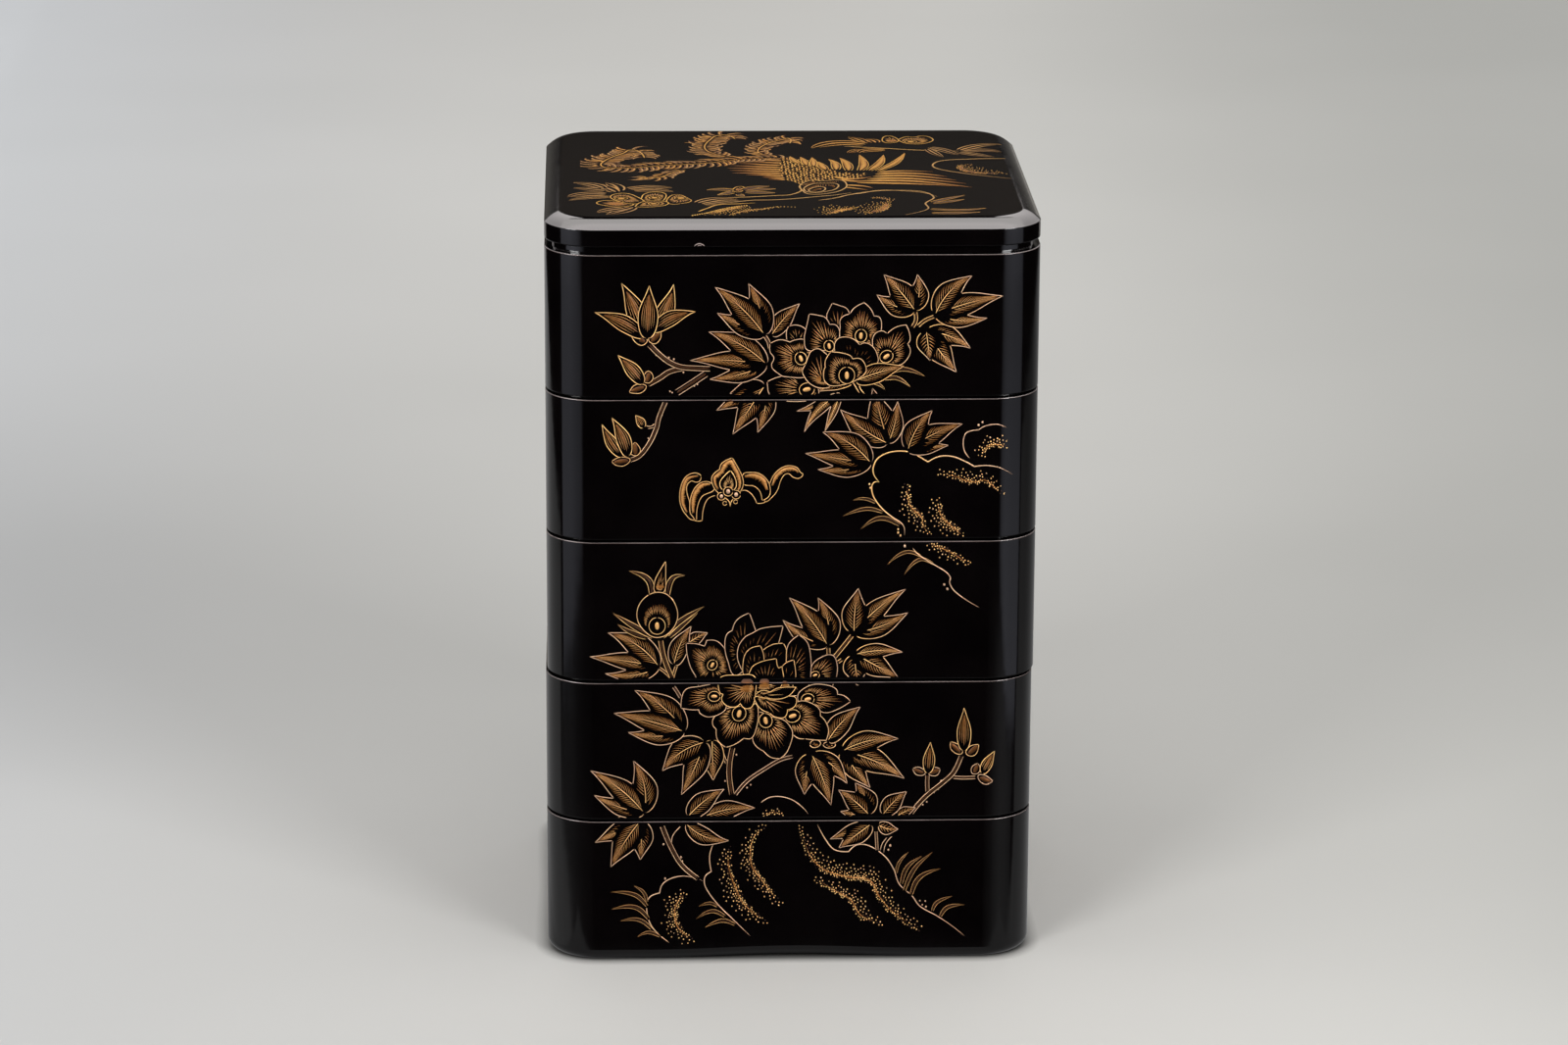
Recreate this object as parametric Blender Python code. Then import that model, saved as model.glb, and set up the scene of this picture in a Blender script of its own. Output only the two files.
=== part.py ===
"""Five-tier lacquered food box with a lift-off lid.

Five hollow trays are stacked on one another. Each has a raised inner lip round its top, and a recess
in its underside that drops over the lip below. The lid has the same recess, a short upright skirt and
a curved shoulder that flattens into a level top. The lowest tray stands on a rounded foot whose four
edges rise in a shallow arch. Metres, +Z up, the origin on the table under the middle of the stack,
front at -Y.
"""
import math

import bmesh
import bpy

# Outside of the stack
BOX_WIDTH = 0.212
BOX_DEPTH = 0.200
CORNER_RADIUS = 0.0225
CORNER_SEGMENTS = 9

# One tray
TRAY_COUNT = 5
BODY_HEIGHT = 0.0619  # outer wall, from its lower edge to the shoulder
SHOULDER_WIDTH = 0.0035  # ledge outside the lip, whose edge shows as a fine line at each seam
LIP_THICKNESS = 0.0030
LIP_HEIGHT = 0.0085
FLOOR_THICKNESS = 0.0050
FLOOR_FILLET = 0.0020
FILLET_SEGMENTS = 2

# How the pieces sit on one another
SEAM_GAP = 0.0011  # dark line between two trays
LID_GAP = 0.0034  # dark band under the lid
LIP_CLEARANCE = 0.0010  # play between a lip and the recess round it
REST_GAP = 0.0003  # left between surfaces that touch
STACK_SHIFT = 0.0003  # the upper trays and the lid sit this far to the right, the lower two to the left
LOWER_TRAYS = 2

# Softened edges
EDGE_ROUND = 0.0006
EDGE_SEGMENTS = 2
RIM_ANGLE = math.radians(20)  # an edge that turns by more than this at a rim is rounded
SMOOTH_ANGLE = math.radians(35)  # an edge that turns by more than this is shaded sharp
SAME_HEIGHT = 0.00003  # points this close in height are at one height

# Foot of the lowest tray
FOOT_HEIGHT = 0.0022  # the lowest tray is taller by this
FOOT_WIDTH = 0.0100
FOOT_FILLET = 0.0050
FOOT_FILLET_SEGMENTS = 4
ARCH_RISE = 0.0015
ARCH_SPAN = 0.120
ARCH_CUTS = 12

# Lid
LID_SKIRT_HEIGHT = 0.0073
LID_SHOULDER_WIDTH = 0.0086  # from the skirt in to where the top is level
LID_SHOULDER_RISE = 0.0043
LID_SHOULDER_STEPS = 5

WALL = SHOULDER_WIDTH + LIP_THICKNESS
RECESS_DEPTH = LIP_HEIGHT - SEAM_GAP + REST_GAP
LID_RECESS_DEPTH = LIP_HEIGHT - LID_GAP + REST_GAP
TRAY_PITCH = BODY_HEIGHT + SEAM_GAP
CUT_PAST = 0.005  # how far a cutter runs beyond what it cuts

BLACK_LACQUER = {"colour": (0.012, 0.009, 0.009, 1.0), "roughness": 0.10, "metallic": 0.0}


def lacquer(name):
    """Glossy black lacquer for one piece."""
    material = bpy.data.materials.new(name)
    material.use_nodes = True
    shader = material.node_tree.nodes["Principled BSDF"]
    shader.inputs["Base Color"].default_value = BLACK_LACQUER["colour"]
    shader.inputs["Roughness"].default_value = BLACK_LACQUER["roughness"]
    shader.inputs["Metallic"].default_value = BLACK_LACQUER["metallic"]
    return material


def rounded_block(inset, bottom, top):
    """Upright block as wide and deep as the box less an inset all round, its standing edges rounded."""
    bm = bmesh.new()
    bmesh.ops.create_cube(bm, size=1.0)
    size = (BOX_WIDTH - 2 * inset, BOX_DEPTH - 2 * inset, top - bottom)
    bmesh.ops.scale(bm, vec=size, verts=bm.verts)
    bmesh.ops.translate(bm, vec=(0, 0, (bottom + top) / 2), verts=bm.verts)
    standing = [e for e in bm.edges if abs(e.verts[0].co.z - e.verts[1].co.z) > size[2] / 2]
    bmesh.ops.bevel(
        bm,
        geom=standing,
        offset=CORNER_RADIUS - inset,
        segments=CORNER_SEGMENTS,
        profile=0.5,
        affect="EDGES",
    )
    return bm


def round_rim(bm, height, radius, segments):
    """Rounds the edges round the block at one height."""
    at_height = [v for v in bm.verts if abs(v.co.z - height) < SAME_HEIGHT]
    rim = [
        e
        for e in bm.edges
        if all(v in at_height for v in e.verts) and e.calc_face_angle(0) > RIM_ANGLE
    ]
    bmesh.ops.bevel(
        bm, geom=rim, offset=radius, segments=segments, profile=0.5, affect="EDGES"
    )


def slice_sides(bm):
    """Cuts the block across in even slices over the arch, so that its lower edge can be curved."""
    for axis in range(2):
        normal = [0, 0, 0]
        normal[axis] = 1
        for k in range(ARCH_CUTS + 1):
            point = [0, 0, 0]
            point[axis] = ARCH_SPAN * (k / ARCH_CUTS - 0.5)
            geometry = bm.verts[:] + bm.edges[:] + bm.faces[:]
            bmesh.ops.bisect_plane(bm, geom=geometry, plane_co=point, plane_no=normal)


def arch_at(distance):
    """Rise of the arch at a distance from the middle of a side."""
    share = min(1.0, abs(distance) / (ARCH_SPAN / 2))
    return ARCH_RISE * math.cos(share * math.pi / 2) ** 2


def raise_arches(bm):
    """Lifts the lower edge of each side in a shallow arch, fading out above the rounded foot."""
    fade_top = FOOT_FILLET + FOOT_WIDTH
    for v in bm.verts:
        along = v.co.x if abs(v.co.y) > BOX_DEPTH / 2 - FOOT_WIDTH else v.co.y
        fade = max(0.0, 1.0 - max(0.0, v.co.z - FOOT_FILLET) / (fade_top - FOOT_FILLET))
        v.co.z += arch_at(along) * fade


def to_object(bm, name, collection):
    """Object that holds the block."""
    bmesh.ops.recalc_face_normals(bm, faces=bm.faces)
    mesh = bpy.data.meshes.new(name)
    bm.to_mesh(mesh)
    bm.free()
    made = bpy.data.objects.new(name, mesh)
    collection.objects.link(made)
    return made


def helper(bm, name, cutters):
    """Solid that only joins or cuts another one."""
    made = to_object(bm, name, cutters)
    made.hide_render = True
    made.display_type = "WIRE"
    return made


def combine(target, tool, operation):
    """Boolean of the target with a helper."""
    modifier = target.modifiers.new(tool.name, "BOOLEAN")
    modifier.operation = operation
    modifier.solver = "EXACT"
    modifier.object = tool


def applied(target, name):
    """The target's mesh with its modifiers applied, smooth but for its sharp edges."""
    depsgraph = bpy.context.evaluated_depsgraph_get()
    mesh = bpy.data.meshes.new_from_object(target.evaluated_get(depsgraph))
    mesh.name = name
    mesh.shade_smooth()
    mesh.set_sharp_from_angle(angle=SMOOTH_ANGLE)
    return mesh


def lip_block(wall_top):
    """Block whose rim becomes the lip, standing in the wall and rising above the shoulder."""
    lip_top = wall_top + LIP_HEIGHT
    bm = rounded_block(SHOULDER_WIDTH, wall_top - CUT_PAST, lip_top)
    round_rim(bm, lip_top, EDGE_ROUND, EDGE_SEGMENTS)
    return bm


def cavity_block(floor_top, wall_top):
    """Space inside a tray, rounded where the walls meet the floor."""
    bm = rounded_block(WALL, floor_top, wall_top + LIP_HEIGHT + CUT_PAST)
    round_rim(bm, floor_top, FLOOR_FILLET, FILLET_SEGMENTS)
    return bm


def recess_block(inset, depth):
    """Space in an underside, open below."""
    return rounded_block(inset, -CUT_PAST, depth)


def tray_mesh(name, outer, wall_top, recess_inset, recess_depth, cutters):
    """Hollow tray: the outer block with its lip, less the cavity above and the recess below."""
    body = to_object(outer, name, cutters)
    floor_top = recess_depth + FLOOR_THICKNESS
    tools = [
        (helper(lip_block(wall_top), name + "_lip", cutters), "UNION"),
        (helper(cavity_block(floor_top, wall_top), name + "_cavity", cutters), "DIFFERENCE"),
        (helper(recess_block(recess_inset, recess_depth), name + "_recess", cutters), "DIFFERENCE"),
    ]
    for tool, operation in tools:
        combine(body, tool, operation)
    bpy.context.view_layer.update()
    mesh = applied(body, name)
    bpy.data.objects.remove(body)
    return mesh


def upper_tray_mesh(cutters):
    """Tray that stands on another one."""
    outer = rounded_block(0.0, 0.0, BODY_HEIGHT)
    round_rim(outer, BODY_HEIGHT, EDGE_ROUND, EDGE_SEGMENTS)
    round_rim(outer, 0.0, EDGE_ROUND, EDGE_SEGMENTS)
    recess_inset = SHOULDER_WIDTH - LIP_CLEARANCE
    return tray_mesh("upper_tray", outer, BODY_HEIGHT, recess_inset, RECESS_DEPTH, cutters)


def base_tray_mesh(cutters):
    """Lowest tray, with its wide rounded foot and the arches between its corners."""
    wall_top = BODY_HEIGHT + FOOT_HEIGHT
    outer = rounded_block(0.0, 0.0, wall_top)
    round_rim(outer, wall_top, EDGE_ROUND, EDGE_SEGMENTS)
    round_rim(outer, 0.0, FOOT_FILLET, FOOT_FILLET_SEGMENTS)
    slice_sides(outer)
    raise_arches(outer)
    return tray_mesh(
        "base_tray", outer, wall_top, FOOT_WIDTH, RECESS_DEPTH + FOOT_HEIGHT, cutters
    )


def shoulder_height(share):
    """Height on the lid's shoulder above the skirt, by the share of its width covered."""
    return LID_SHOULDER_RISE * (1.0 - (1.0 - share) ** 2)


def lid_mesh(cutters):
    """Lid: upright skirt, curved shoulder, level top, and a recess that fits over the top lip."""
    bm = rounded_block(0.0, 0.0, LID_SKIRT_HEIGHT)
    top = max(bm.faces, key=lambda f: f.calc_center_median().z)
    for step in range(LID_SHOULDER_STEPS):
        low, high = step / LID_SHOULDER_STEPS, (step + 1) / LID_SHOULDER_STEPS
        bmesh.ops.inset_region(
            bm,
            faces=[top],
            thickness=LID_SHOULDER_WIDTH / LID_SHOULDER_STEPS,
            depth=shoulder_height(high) - shoulder_height(low),
            use_even_offset=True,
        )
    round_rim(bm, LID_SKIRT_HEIGHT, EDGE_ROUND, EDGE_SEGMENTS)
    round_rim(bm, 0.0, EDGE_ROUND, EDGE_SEGMENTS)
    body = to_object(bm, "lid_body", cutters)
    recess = recess_block(SHOULDER_WIDTH - LIP_CLEARANCE, LID_RECESS_DEPTH)
    combine(body, helper(recess, "lid_recess", cutters), "DIFFERENCE")
    bpy.context.view_layer.update()
    mesh = applied(body, "lid_mesh")
    bpy.data.objects.remove(body)
    return mesh


def place(name, mesh, shift, height, collection):
    """One piece of the stack, at its height."""
    piece = bpy.data.objects.new(name, mesh)
    piece.data.materials.clear()
    piece.data.materials.append(lacquer(name + "_lacquer"))
    piece.location = (shift, 0.0, height)
    collection.objects.link(piece)


def main():
    for old in list(bpy.data.objects):
        bpy.data.objects.remove(old)
    stack = bpy.data.collections.new("tiered_lacquer_box")
    cutters = bpy.data.collections.new("cutters")
    for collection in (stack, cutters):
        bpy.context.scene.collection.children.link(collection)

    upper = upper_tray_mesh(cutters)
    base = base_tray_mesh(cutters)
    for number in range(1, TRAY_COUNT + 1):
        below = TRAY_COUNT - number  # trays under this one; tier 1 is the topmost
        is_base = below == 0
        mesh = base if is_base else upper.copy()
        shift = STACK_SHIFT * (-1 if below < LOWER_TRAYS else 1)
        height = 0.0 if is_base else FOOT_HEIGHT + below * TRAY_PITCH
        place(f"tier_{number}", mesh, shift, height, stack)

    shoulder = FOOT_HEIGHT + (TRAY_COUNT - 1) * TRAY_PITCH + BODY_HEIGHT
    place("lid", lid_mesh(cutters), STACK_SHIFT, shoulder + LID_GAP, stack)
    for tool in list(cutters.objects):
        bpy.data.objects.remove(tool)


main()
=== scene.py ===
"""Looks of the tiered lacquer box.

Finer trays and a finer lid stand in for the CAD solids, with black lacquer, brown edges where the black is
rubbed through, made paler as partly painted highlight, and a gold drawing of flowers, rocks, a bat and a
phoenix. Metres, +Z up, the drawn front at -Y.
"""
import math
import random

import bmesh
import bpy
import numpy as np
from mathutils import Matrix, Vector


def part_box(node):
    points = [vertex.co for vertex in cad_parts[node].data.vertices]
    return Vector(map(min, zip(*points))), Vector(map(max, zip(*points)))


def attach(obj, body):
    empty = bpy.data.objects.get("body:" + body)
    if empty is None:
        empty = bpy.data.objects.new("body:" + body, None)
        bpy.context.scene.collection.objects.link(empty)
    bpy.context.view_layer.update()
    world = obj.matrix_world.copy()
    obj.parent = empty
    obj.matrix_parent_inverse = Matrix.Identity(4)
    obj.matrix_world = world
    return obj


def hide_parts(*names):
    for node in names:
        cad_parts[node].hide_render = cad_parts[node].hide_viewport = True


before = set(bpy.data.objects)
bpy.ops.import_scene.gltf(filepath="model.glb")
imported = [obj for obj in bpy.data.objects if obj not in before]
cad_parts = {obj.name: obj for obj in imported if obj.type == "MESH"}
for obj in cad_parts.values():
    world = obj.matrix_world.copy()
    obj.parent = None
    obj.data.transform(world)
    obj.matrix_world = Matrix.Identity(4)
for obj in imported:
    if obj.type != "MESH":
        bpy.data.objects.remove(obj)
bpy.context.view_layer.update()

# Shape of the box, as in the CAD source
BOX_WIDTH = 0.212
BOX_DEPTH = 0.200
CORNER_RADIUS = 0.0225
SHOULDER = 0.0035
LIP_HEIGHT = 0.0085
WALL = 0.0065
FLOOR_THICKNESS = 0.005
FLOOR_FILLET = 0.0020
RECESS_INSET = 0.0025
RECESS_DEPTH = 0.0077
EDGE_ROUND = 0.0006
FOOT_WIDTH = 0.0100
FOOT_FILLET = 0.0050
FOOT_RECESS_DEPTH = 0.0099
ARCH_RISE = 0.0015
ARCH_SPAN = 0.120
SKIRT_HEIGHT = 0.0073
LID_SHOULDER_WIDTH = 0.0086
LID_SHOULDER_RISE = 0.0043
LID_RECESS_DEPTH = 0.0054

# What is finer here than in the CAD source
SKIN = 0.00006  # the lacquer is this far inside the CAD surface, so that the gold on it is inside too
RIM_ROUND = 0.0004  # radius of the outer edge of a tray's shoulder
ARRIS_ROUND = 0.00035  # radius of the crisp edge between the lid's skirt and its shoulder
BEVEL = 0.0002  # of the small edges beside a lip and a recess
ARCH_END = 0.015  # the foot's arch has faded out at this height on the wall
CORNER_STEPS = 22
ARCH_STEPS = 24
SHOULDER_STEPS = 16
SHARP_ANGLE = 50  # in degrees
FLAT_WEIGHT = 90  # how much the large flat faces decide the shading beside a rounded edge
MARGIN = 0.0001  # for comparing lengths

HALF_X = BOX_WIDTH / 2 - CORNER_RADIUS  # from the middle to a corner's centre
HALF_Y = BOX_DEPTH / 2 - CORNER_RADIUS
TIERS = ["tier_1", "tier_2", "tier_3", "tier_4", "tier_5"]

# Material slots of a tray
OUTSIDE, RIM, INSIDE = 0, 1, 2


# Materials

NOISE_LOW, NOISE_HIGH = 0.3, 0.7  # nearly all of a noise texture's values are between these
MARKS_SHARE, CLOUD_SHARE = 0.35, 0.65  # of the wipe marks and of soft clouds in the lacquer's gloss
WEAR = 0.22  # how far the gold's tone varies from place to place
GOLD_STOPS = [
    (0.0, (0.014, 0.005, 0.002)), (0.22, (0.075, 0.026, 0.005)), (0.40, (0.250, 0.096, 0.016)),
    (0.50, (0.440, 0.200, 0.046)), (0.60, (0.660, 0.380, 0.145)), (0.75, (0.850, 0.525, 0.215)),
    (1.0, (1.0, 0.670, 0.280)),
]
PALE_STOPS = [
    (0.25, (0.130, 0.058, 0.028)), (0.50, (0.600, 0.395, 0.275)), (0.72, (0.850, 0.600, 0.410)),
]


class Nodes:
    """Short hand for building one material's node tree."""

    def __init__(self, name):
        self.material = bpy.data.materials.new(name)
        self.material.use_nodes = True
        self.tree = self.material.node_tree
        self.shader = self.tree.nodes["Principled BSDF"]

    def add(self, kind, **values):
        """New node. A value is the node's own setting, or else the default of its input of that name."""
        node = self.tree.nodes.new(kind)
        for key, value in values.items():
            if hasattr(node, key):
                setattr(node, key, value)
            else:
                node.inputs[key.replace("_", " ").title()].default_value = value
        return node

    def link(self, source, target):
        self.tree.links.new(source, target)

    def coordinates(self, stretch=(1, 1, 1)):
        """Place on the object, in metres."""
        position = self.add("ShaderNodeTexCoord")
        scaled = self.add("ShaderNodeMapping")
        scaled.inputs["Scale"].default_value = stretch
        self.link(position.outputs["Object"], scaled.inputs["Vector"])
        return scaled.outputs["Vector"]

    def noise(self, scale, detail=4.0, stretch=(1, 1, 1)):
        node = self.add("ShaderNodeTexNoise", scale=scale, detail=detail)
        self.link(self.coordinates(stretch), node.inputs["Vector"])
        return node.outputs["Fac"]

    def ramp(self, source, stops):
        node = self.add("ShaderNodeValToRGB")
        elements = node.color_ramp.elements
        while len(elements) < len(stops):
            elements.new(0.5)
        for element, (at, colour) in zip(elements, stops):
            element.position = at
            element.color = (*colour, 1.0)
        self.link(source, node.inputs["Fac"])
        return node.outputs["Color"]

    def spread(self, source, low, high):
        """Noise spread out between two values."""
        node = self.add("ShaderNodeMapRange")
        node.inputs["From Min"].default_value = NOISE_LOW
        node.inputs["From Max"].default_value = NOISE_HIGH
        node.inputs["To Min"].default_value = low
        node.inputs["To Max"].default_value = high
        self.link(source, node.inputs["Value"])
        return node.outputs["Result"]

    def bump(self, source, strength, distance):
        node = self.add("ShaderNodeBump", strength=strength, distance=distance)
        self.link(source, node.inputs["Height"])
        self.link(node.outputs["Normal"], self.shader.inputs["Normal"])


def lacquer(name, dark, light, rough_low, rough_high, mottle=38.0):
    """Polished lacquer: faint mottling, fine wipe marks in the gloss and a very slight ripple."""
    n = Nodes(name)
    n.link(n.ramp(n.noise(mottle), [(0.35, dark), (0.65, light)]), n.shader.inputs["Base Color"])
    marks = n.noise(900.0, 2.0, (1, 1, 0.08))
    cloud = n.noise(60.0, 6.0)
    both = n.add("ShaderNodeMath", operation="MULTIPLY_ADD")
    both.inputs[1].default_value = MARKS_SHARE
    n.link(marks, both.inputs[0])
    clouds = n.add("ShaderNodeMath", operation="MULTIPLY")
    clouds.inputs[1].default_value = CLOUD_SHARE
    n.link(cloud, clouds.inputs[0])
    n.link(clouds.outputs[0], both.inputs[2])
    n.link(n.spread(both.outputs[0], rough_low, rough_high), n.shader.inputs["Roughness"])
    n.bump(n.noise(120.0, 1.0), 0.05, 0.0004)
    n.shader.inputs["IOR"].default_value = 1.5
    return n.material


def gilding(name, shine, gloss, strength, roughness=0.0):
    """Gold rubbed into fine lines, from dark brown through copper to bright gold by its tone, or paler."""
    n = Nodes(name)
    tone = n.add("ShaderNodeAttribute", attribute_name="tone")
    wear = n.add("ShaderNodeMath", operation="MULTIPLY_ADD")
    wear.inputs[1].default_value = WEAR
    wear.inputs[2].default_value = -WEAR / 2
    n.link(n.noise(700.0, 3.0), wear.inputs[0])
    both = n.add("ShaderNodeMath", operation="ADD")
    n.link(tone.outputs["Fac"], both.inputs[0])
    n.link(wear.outputs[0], both.inputs[1])
    colour = n.add("ShaderNodeMix", data_type="RGBA")
    for stops, socket in ((GOLD_STOPS, "A"), (PALE_STOPS, "B")):
        stops = [(at, tuple(v * part for v, part in zip(shade, strength))) for at, shade in stops]
        n.link(n.ramp(both.outputs[0], stops), colour.inputs[socket])
    blush = n.add("ShaderNodeAttribute", attribute_name="blush")
    n.link(blush.outputs["Fac"], colour.inputs["Factor"])
    n.link(colour.outputs["Result"], n.shader.inputs["Base Color"])
    rough = n.spread(n.noise(1500.0, 2.0), 0.34 + roughness, 0.50 + roughness)
    n.link(rough, n.shader.inputs["Roughness"])
    n.shader.inputs["Metallic"].default_value = shine
    n.shader.inputs["Specular IOR Level"].default_value = gloss
    n.bump(n.noise(2500.0, 2.0), 0.2, 0.00005)
    return n.material


gold = gilding("gold_line", 0.45, 0.30, (0.92, 0.86, 0.80))
# A darker, duller copy of the wall's gold for the lid's top: painted shade, as the top is seen almost
# edge-on.
lid_gold = gilding("shaded_lid_gold_line", 0.10, 0.10, (0.46, 0.38, 0.17), 0.20)  # it is seen almost edge-on


# The gold drawing
# It is drawn flat in millimetres, front things first, and then laid on the wall or the lid. On the wall,
# across is measured round the box from the middle of its front and up is height above the table.
# Widths and distances are in millimetres. Places along a shape are shares of its length, and a taper is
# the share of a stroke over which each of its ends thins. Tones run from 0, dark brown, to 1, bright gold.

MM = 1000
OUTLINE = 0.29  # width of a drawn outline
VEIN = 0.17  # width of the fine lines in a leaf or a long petal
RAY = 0.19  # width of the fine lines in a rounded petal
STROKE_SPREAD = 1.4  # the sunk edges of a stroke don't show, so it is made wider by this
STROKE_RISE = 0.00005
STROKE_SINK = 0.00002
SHADE_RISE = 0.3  # shading rises to this share of a line's height, so that the lines over it show
STEP = 0.4  # distance between a curve's points
SEAM_MARGIN = 0.75  # the gold stops this far short of a seam
CLOSED = (0.01, 0.01)  # hardly any taper, for a line that closes on itself
BLUNT = (0.02, 0.02)

COPPER = 0.5
PALE_BELOW, PALE_RANGE = 0.78, 0.18  # a pale stroke pales below this tone, over this range
WIDEST = 0.40  # a lobe is widest at this share of its length
LEAF_FULLNESS = 1.27
EYE_LENGTH = 1.35  # length of a petal's eye, in widths
CORE = 0.42  # how fast the dots beside a line thin out
BARB_SPACING = 2.6  # of a plume's barbs
PLUME_TONE = 0.68
LID_WEIGHT = 1.9  # strokes on the lid are this much wider, as it is seen almost edge-on


def unit(vector):
    return vector / max(1e-9, float(np.hypot(*vector)))


def headings(points):
    """Unit vectors along a curve and to its left, at each of its points."""
    ahead = np.gradient(points, axis=0)
    ahead /= np.maximum(1e-9, np.hypot(ahead[:, 0], ahead[:, 1]))[:, None]
    return ahead, np.stack([-ahead[:, 1], ahead[:, 0]], axis=1)


def curve(points, closed=False, step=STEP):
    """Points along a smooth curve through the given ones. A third value in a point makes it a corner."""
    sharp = [len(p) > 2 for p in points]
    given = [np.array(p[:2], float) for p in points]
    if closed:
        first = sharp.index(True) if True in sharp else 0
        given = given[first:] + given[:first] + [given[first]]
        sharp = sharp[first:] + sharp[:first] + [sharp[first]]
    else:
        sharp[0] = sharp[-1] = True
    out = []
    for k in range(len(given) - 1):
        a, b = given[k], given[k + 1]
        span = float(np.hypot(*(b - a)))
        leave = arrive = None
        if not sharp[k]:
            leave = unit(b - (given[k - 1] if k else given[-2])) * span
        if not sharp[k + 1]:
            arrive = unit((given[k + 2] if k + 2 < len(given) else given[1]) - a) * span
        if leave is None and arrive is None:
            leave = arrive = b - a
        elif leave is None:
            leave = 1.5 * (b - a) - 0.5 * arrive
        elif arrive is None:
            arrive = 1.5 * (b - a) - 0.5 * leave
        count = max(2, int(round(span / step)))
        for t in np.arange(count) / count:
            out.append(
                (2 * t**3 - 3 * t**2 + 1) * a
                + (t**3 - 2 * t**2 + t) * leave
                + (3 * t**2 - 2 * t**3) * b
                + (t**3 - t**2) * arrive
            )
    out.append(given[-1])
    return np.array(out)


def inside(shape, points):
    """Which of the points are inside a closed outline."""
    x, y = points[:, 0][:, None], points[:, 1][:, None]
    x0, y0 = shape[:, 0][None], shape[:, 1][None]
    x1, y1 = np.roll(shape[:, 0], -1)[None], np.roll(shape[:, 1], -1)[None]
    spans = (y0 > y) != (y1 > y)
    drop = np.where(y1 == y0, 1e-9, y1 - y0)
    return np.sum(spans & (x < x0 + (y - y0) * (x1 - x0) / drop), axis=1) % 2 == 1


def reach(shape, start, bearing):
    """Distance from a point inside an outline to the outline, along a bearing."""
    dx, dy = math.cos(bearing), math.sin(bearing)
    a = shape - start
    b = np.roll(a, -1, axis=0)
    along_a, along_b = a[:, 0] * dx + a[:, 1] * dy, b[:, 0] * dx + b[:, 1] * dy
    off_a, off_b = a[:, 1] * dx - a[:, 0] * dy, b[:, 1] * dx - b[:, 0] * dy
    crosses = (off_a > 0) != (off_b > 0)
    if not crosses.any():
        return 0.0
    share = off_a[crosses] / (off_a[crosses] - off_b[crosses])
    at = along_a[crosses] + share * (along_b[crosses] - along_a[crosses])
    at = at[at > 0]
    return float(at.min()) if len(at) else 0.0


def shares(start, end, step):
    """Even values from start to end."""
    count = max(2, int(abs(end - start) / step) + 1)
    return np.linspace(start, end, count)


def seen_parts(run, seen):
    """Parts of a stroke that are seen."""
    points, half, tones, blush, edge, rise = run
    parts = []
    begin = None
    for k in range(len(points) + 1):
        on = k < len(points) and seen[k]
        if on and begin is None:
            begin = k
        elif not on and begin is not None:
            if k - begin > 2:
                part = slice(begin, k)
                parts.append((points[part], half[part], tones[part], blush[part], edge, rise))
            begin = None
    return parts


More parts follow.
